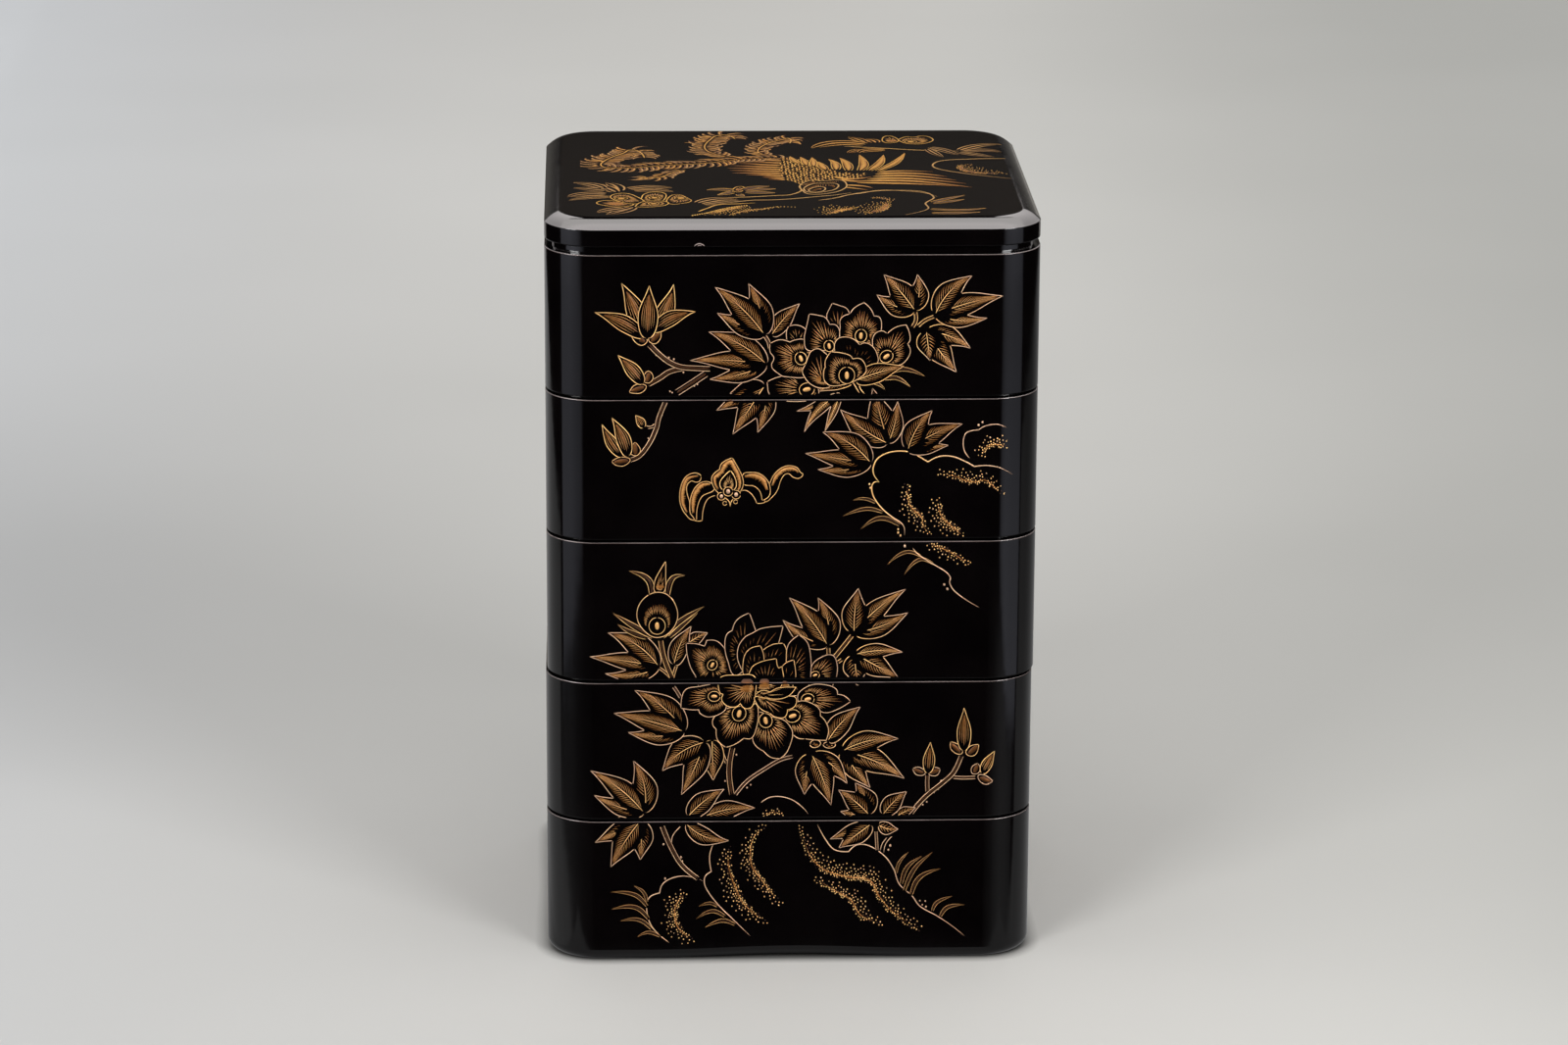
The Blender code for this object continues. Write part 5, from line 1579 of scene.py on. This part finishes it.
def band_card(name, rows, distance=CARD_DISTANCE, tint=(1.0, 1.0, 1.0)):
    """Upright card that stands round the box.

    A row has its bearing in degrees from the front, its bottom and top, and how light each of them is.
    """
    verts, faces, levels = [], [], []
    bearings = [row[0] for row in rows]
    count = int(abs(bearings[-1] - bearings[0]) / UPRIGHT_STEP) + 2
    order = slice(None, None, 1 if bearings[-1] > bearings[0] else -1)
    for k in range(count):
        bearing = bearings[0] + (bearings[-1] - bearings[0]) * k / (count - 1)
        bottom, top, low, high = (
            float(np.interp(bearing, bearings[order], [row[i] for row in rows][order])) for i in range(1, 5)
        )
        a = math.radians(bearing)
        x, y = distance * math.sin(a), -distance * math.cos(a)
        verts += [(x, y, bottom), (x, y, top)]
        levels += [low, high]
        if k:
            faces.append((2 * k - 2, 2 * k, 2 * k + 1, 2 * k - 1))
    lit_card(name, verts, faces, levels, tint)


# Painted light and shade: the paper's colour is lighter or darker by its place on the floor, standing in for
# how the light falls off over it, from the front to the back at its left and right, and across it.
# The levels began as a separate script's least-squares fit of the render's background to the photo's, and
# were then rounded and adjusted by hand.
FALLOFF_START, FALLOFF_END = -0.60, 2.40
FALLOFF_BACK = (-0.20, -0.08, 0.08, 0.22, 0.40, 0.62, 0.90, 1.20, 1.55, 1.95, 2.35)
FALLOFF_LEFT = (0.82, 0.90, 0.92, 0.79, 0.735, 0.815, 0.94, 1.0, 0.98, 0.84, 0.68)
FALLOFF_RIGHT = (0.82, 0.69, 0.71, 0.79, 0.81, 0.83, 0.76, 0.755, 0.72, 0.635, 0.55)
LEFT_TO_RIGHT = [(-0.55, grey(0.0)), (0.65, grey(1.0))]
FALLOFF_ACROSS = [
    (-0.60, (0.855, 0.890, 0.955)), (-0.35, (0.810, 0.815, 0.833)), (-0.18, (0.873, 0.873, 0.873)),
    (0.0, (0.882, 0.877, 0.868)), (0.18, (0.945, 0.940, 0.932)), (0.30, (0.900, 0.900, 0.890)),
    (0.42, (0.830, 0.830, 0.820)), (0.60, (0.770, 0.775, 0.765)),
]
PAPER_FIBRES = [(0.3, (0.842, 0.833, 0.806)), (0.7, (0.921, 0.909, 0.883))]
CONTACT_SHADOW = 0.007  # how far out from the box's foot the paper is darker


def falloff_ramp(n, axis, stops):
    """Painted light and shade: colour by place on the paper, along x or y."""
    axes = n.add("ShaderNodeSeparateXYZ")
    n.link(n.coordinates(), axes.inputs[0])
    place = n.add("ShaderNodeMapRange")
    place.inputs["From Min"].default_value = FALLOFF_START
    place.inputs["From Max"].default_value = FALLOFF_END
    n.link(axes.outputs[axis], place.inputs["Value"])
    span = FALLOFF_END - FALLOFF_START
    ramp = n.ramp(place.outputs["Result"], [((at - FALLOFF_START) / span, colour) for at, colour in stops])
    ramp.node.color_ramp.interpolation = "B_SPLINE"
    return ramp


paper = Nodes("paper")
sides = paper.add("ShaderNodeMix", data_type="RGBA")
paper.link(falloff_ramp(paper, 0, LEFT_TO_RIGHT), sides.inputs["Factor"])
for values, socket in ((FALLOFF_LEFT, "A"), (FALLOFF_RIGHT, "B")):
    stops = [(at, grey(v)) for at, v in zip(FALLOFF_BACK, values)]
    paper.link(falloff_ramp(paper, 1, stops), sides.inputs[socket])
light = paper.add("ShaderNodeVectorMath", operation="MULTIPLY")
paper.link(sides.outputs["Result"], light.inputs[0])
paper.link(falloff_ramp(paper, 0, FALLOFF_ACROSS), light.inputs[1])
fibres = paper.add("ShaderNodeVectorMath", operation="MULTIPLY")
paper.link(light.outputs[0], fibres.inputs[0])
paper.link(paper.ramp(paper.noise(1.2, 3.0), PAPER_FIBRES), fibres.inputs[1])
# Painted contact shadow: ambient occlusion darkens the paper's colour near the box's foot.
painted_contact_shadow = paper.add("ShaderNodeAmbientOcclusion")
painted_contact_shadow.inputs["Distance"].default_value = CONTACT_SHADOW
paper.link(fibres.outputs[0], painted_contact_shadow.inputs["Color"])
paper.link(painted_contact_shadow.outputs["Color"], paper.shader.inputs["Base Color"])
paper.shader.inputs["Roughness"].default_value = 0.9
paper.shader.inputs["Specular IOR Level"].default_value = 0.0
paper.bump(paper.noise(900.0, 2.0), 0.15, 0.0002)
verts = [(x * PAPER_HALF, y * PAPER_HALF, 0) for x, y in QUARTERS]
floor = stage_mesh("floor", verts, [(0, 1, 2, 3)], paper.material)
floor.visible_glossy = False

band_card("left_card", [
    (-82, -0.230, 0.03, 0.50, 0.46), (-60, -0.205, 0.03, 0.56, 0.52), (-50, -0.180, 0.03, 0.44, 0.44),
    (-38, -0.150, 0.03, 0.34, 0.36), (-34, -0.140, 0.03, 0.02, 0.02),
], tint=COOL)
band_card("left_upper_card", [
    (-82, 0.03, 0.30, 0.46, 1.6), (-60, 0.03, 0.30, 0.60, 1.8), (-45, 0.03, 0.30, 0.44, 1.0),
    (-34, 0.03, 0.30, 0.02, 0.02),
], tint=COOL)
band_card("left_side_card", [
    (-160, CARD_FOOT, 0.05, 0.36, 0.50), (-134, CARD_FOOT, 0.0, 0.36, 0.45),
    (-120, CARD_FOOT, -0.055, 0.38, 0.36), (-104, CARD_FOOT, -0.105, 0.40, 0.34),
    (-95, CARD_FOOT, -0.130, 0.42, 0.34), (-88, CARD_FOOT, -0.135, 0.44, 0.34),
])
band_card("left_low_card", [
    (-92, CARD_FOOT, -0.320, 0.42, 0.42), (-85, CARD_FOOT, -0.335, 0.44, 0.42),
    (-77, CARD_FOOT, -0.350, 0.48, 0.44), (-69, CARD_FOOT, -0.372, 0.48, 0.46),
    (-55, CARD_FOOT, -0.420, 0.36, 0.36), (-40, CARD_FOOT, -0.440, 0.20, 0.20),
], LOW_CARD_DISTANCE)
band_card("left_floor_card", [
    (-88, CARD_FOOT, -0.235, 0.12, 0.08), (-60, CARD_FOOT, -0.215, 0.14, 0.10),
    (-45, CARD_FOOT, -0.190, 0.09, 0.05), (-35, CARD_FOOT, -0.17, 0.06, 0.03),
    (-15, CARD_FOOT, -0.17, 0.02, 0.01),
])
band_card("right_card", [
    (32, -0.140, 0.03, 0.05, 0.05), (36, -0.165, 0.03, 0.50, 0.26), (42, -0.195, 0.03, 0.74, 0.34),
    (50, -0.235, 0.03, 0.70, 0.40), (60, -0.262, 0.03, 0.62, 0.38), (70, -0.268, 0.03, 0.58, 0.34),
    (78, -0.268, 0.03, 0.50, 0.28),
], tint=COOL)
band_card("right_upper_card", [
    (32, 0.03, 0.30, 0.05, 0.05), (40, 0.03, 0.30, 0.42, 1.5), (55, 0.03, 0.30, 0.48, 1.8),
    (76, 0.03, 0.30, 0.34, 1.2),
], tint=COOL)
band_card("right_side_card", [
    (81, CARD_FOOT, -0.075, 0.32, 0.20), (90, CARD_FOOT, -0.055, 0.36, 0.16),
    (100, CARD_FOOT, -0.035, 0.36, 0.10), (112, CARD_FOOT, -0.020, 0.36, 0.10),
    (125, CARD_FOOT, 0.0, 0.38, 0.14), (160, CARD_FOOT, 0.05, 0.42, 0.22),
])
band_card("right_low_card", [
    (84, CARD_FOOT, -0.315, 0.32, 0.32), (80, CARD_FOOT, -0.350, 0.32, 0.32),
    (75, CARD_FOOT, -0.380, 0.32, 0.32), (66, CARD_FOOT, -0.405, 0.28, 0.28),
    (50, CARD_FOOT, -0.430, 0.22, 0.22), (40, CARD_FOOT, -0.440, 0.15, 0.15),
], LOW_CARD_DISTANCE)
band_card("right_floor_card", [
    (12, CARD_FOOT, -0.17, 0.03, 0.01), (26, CARD_FOOT, -0.18, 0.11, 0.05),
    (36, CARD_FOOT, -0.20, 0.20, 0.15), (45, CARD_FOOT, -0.22, 0.25, 0.22),
    (60, CARD_FOOT, -0.28, 0.21, 0.19), (72, CARD_FOOT, -0.28, 0.10, 0.10),
])
for name, bottom, top, low, high, tint in (
    ("back_low_card", CARD_FOOT, 0.28, 0.40, 0.38, WARM),
    ("back_middle_card", 0.28, 0.42, 0.16, 0.09, WARM),
    ("back_dark_card", 0.42, 0.56, 0.09, 0.010, WARM),
    ("back_high_card", 0.57, 0.85, 0.050, 0.050, WARMER),
):
    rows = [(bearing, bottom, top, low, high) for bearing in (142, 218)]
    band_card(name, rows, BACK_CARD_DISTANCE, tint)

# Card below the table, darker under the box, that the rounded foot shows: rectangles, each with half
# its size along x and y, and how light it is there
FOOT_CARD = [
    (0.245, 0.235, 0.31), (0.110, 0.104, 0.27), (0.100, 0.094, 0.20), (0.090, 0.084, 0.13),
    (0.068, 0.062, 0.06), (0.036, 0.030, 0.025), (0.004, 0.004, 0.005),
]
verts, faces, levels = [], [], []
for half_x, half_y, level in FOOT_CARD:
    verts += [(x * half_x, y * half_y, FOOT_CARD_HEIGHT) for x, y in QUARTERS]
    levels += [level] * 4
for k in range(0, 4 * len(FOOT_CARD) - 4, 4):
    faces += [(k + j, k + (j + 1) % 4, k + 4 + (j + 1) % 4, k + 4 + j) for j in range(4)]
lit_card("foot_card", verts, faces, levels)


def softbox(name, place, target, size, power):
    """Lamp that gloss doesn't see."""
    data = bpy.data.lights.new(name, "AREA")
    data.shape = "RECTANGLE"
    data.size, data.size_y = size
    data.energy = power
    made = bpy.data.objects.new(name, data)
    made.location = place
    made.rotation_euler = (Vector(target) - Vector(place)).to_track_quat("-Z", "Y").to_euler()
    made.visible_glossy = False
    bpy.context.scene.collection.objects.link(made)


softbox("overhead", (0.0, -0.25, 1.70), (0.0, -0.15, 0.0), (1.7, 0.8), 8.5)
softbox("front_left", (-1.5, -2.2, 1.3), (0.0, 0.0, 0.15), (1.0, 1.0), 39.0)
softbox("front_right", (1.5, -2.2, 1.3), (0.0, 0.0, 0.15), (1.0, 1.0), 34.5)
softbox("far", (0.0, 3.0, 1.9), (0.0, 3.0, 0.0), (5.0, 1.2), 56.0)

# Card overhead, dimmer towards the back, open behind the box
SKY_STOPS = [(0.0, (8.4, 7.9, 7.8)), (0.30, (6.2, 5.9, 5.8)), (1.0, (4.0, 3.8, 3.7))]
SKY_OUTLINE = [(-2.6, -0.72), (2.6, -0.72), (2.6, 2.6), (0.55, 1.03), (-0.55, 1.03), (-2.6, 2.6)]
sky, emission = light_nodes("sky_card_light")
position = sky.add("ShaderNodeTexCoord")
axes = sky.add("ShaderNodeSeparateXYZ")
sky.link(position.outputs["Object"], axes.inputs[0])
sky.link(sky.ramp(axes.outputs["Y"], SKY_STOPS), emission.inputs["Color"])
verts = [(x, y, SKY_HEIGHT) for x, y in SKY_OUTLINE]
card("sky_card", verts, [(0, 1, 3, 4), (1, 2, 3), (0, 4, 5)], sky.material)

WING_ROWS = [
    (110, 0.90, SKY_HEIGHT, 1.9, 4.0), (130, 0.75, SKY_HEIGHT, 1.5, 3.9),
    (146, 0.42, SKY_HEIGHT, 0.6, 3.9), (168, 0.60, SKY_HEIGHT, 1.0, 4.2),
]
for name, way in (("left_wing_card", -1), ("right_wing_card", 1)):
    band_card(name, [(way * bearing, *rest) for bearing, *rest in WING_ROWS], tint=WING_TINT)
for name, start, end, level in (("left_window", -70, -48, 22.0), ("right_window", 36, 58, 26.0)):
    rows = [(bearing, 0.45, 1.30, level, level) for bearing in (start, end)]
    band_card(name, rows, WINDOW_DISTANCE)

# Light of the room, which gloss sees as nearly black
ROOM_LIGHT = (0.30, 0.30, 0.295, 1.0)
ROOM_IN_GLOSS = (0.004, 0.0028, 0.0032, 1.0)
world = bpy.data.worlds.new("studio")
bpy.context.scene.world = world
world.use_nodes = True
tree = world.node_tree
path = tree.nodes.new("ShaderNodeLightPath")
mix = tree.nodes.new("ShaderNodeMix")
mix.data_type = "RGBA"
mix.inputs["A"].default_value = ROOM_LIGHT
mix.inputs["B"].default_value = ROOM_IN_GLOSS
tree.links.new(path.outputs["Is Glossy Ray"], mix.inputs["Factor"])
tree.links.new(mix.outputs["Result"], tree.nodes["Background"].inputs["Color"])

# The camera stands where a fit to the photo's outline puts it. Its angles are in degrees.
CAMERA_PLACE = (-0.0857, -2.3031, 0.8098)
CAMERA_ELEVATION = 15.492
CAMERA_YAW = 2.133
CAMERA_ROLL = 0.265
SENSOR_WIDTH = 36.0
FOCAL_LENGTH = 122.56
data = bpy.data.cameras.new("camera")
data.sensor_width = SENSOR_WIDTH
data.lens = FOCAL_LENGTH
camera = bpy.data.objects.new("camera", data)
bpy.context.scene.collection.objects.link(camera)
e, w, r = (math.radians(v) for v in (CAMERA_ELEVATION, CAMERA_YAW, CAMERA_ROLL))
right = Vector((math.cos(w), -math.sin(w), 0))
up = Vector((math.sin(w) * math.sin(e), math.cos(w) * math.sin(e), math.cos(e)))
ahead = Vector((math.sin(w) * math.cos(e), math.cos(w) * math.cos(e), -math.sin(e)))
right, up = right * math.cos(r) + up * math.sin(r), up * math.cos(r) - right * math.sin(r)
turn = Matrix((right, up, -ahead)).transposed().to_4x4()
camera.matrix_world = Matrix.Translation(CAMERA_PLACE) @ turn
bpy.context.scene.camera = camera
bpy.context.scene.view_settings.view_transform = "Standard"
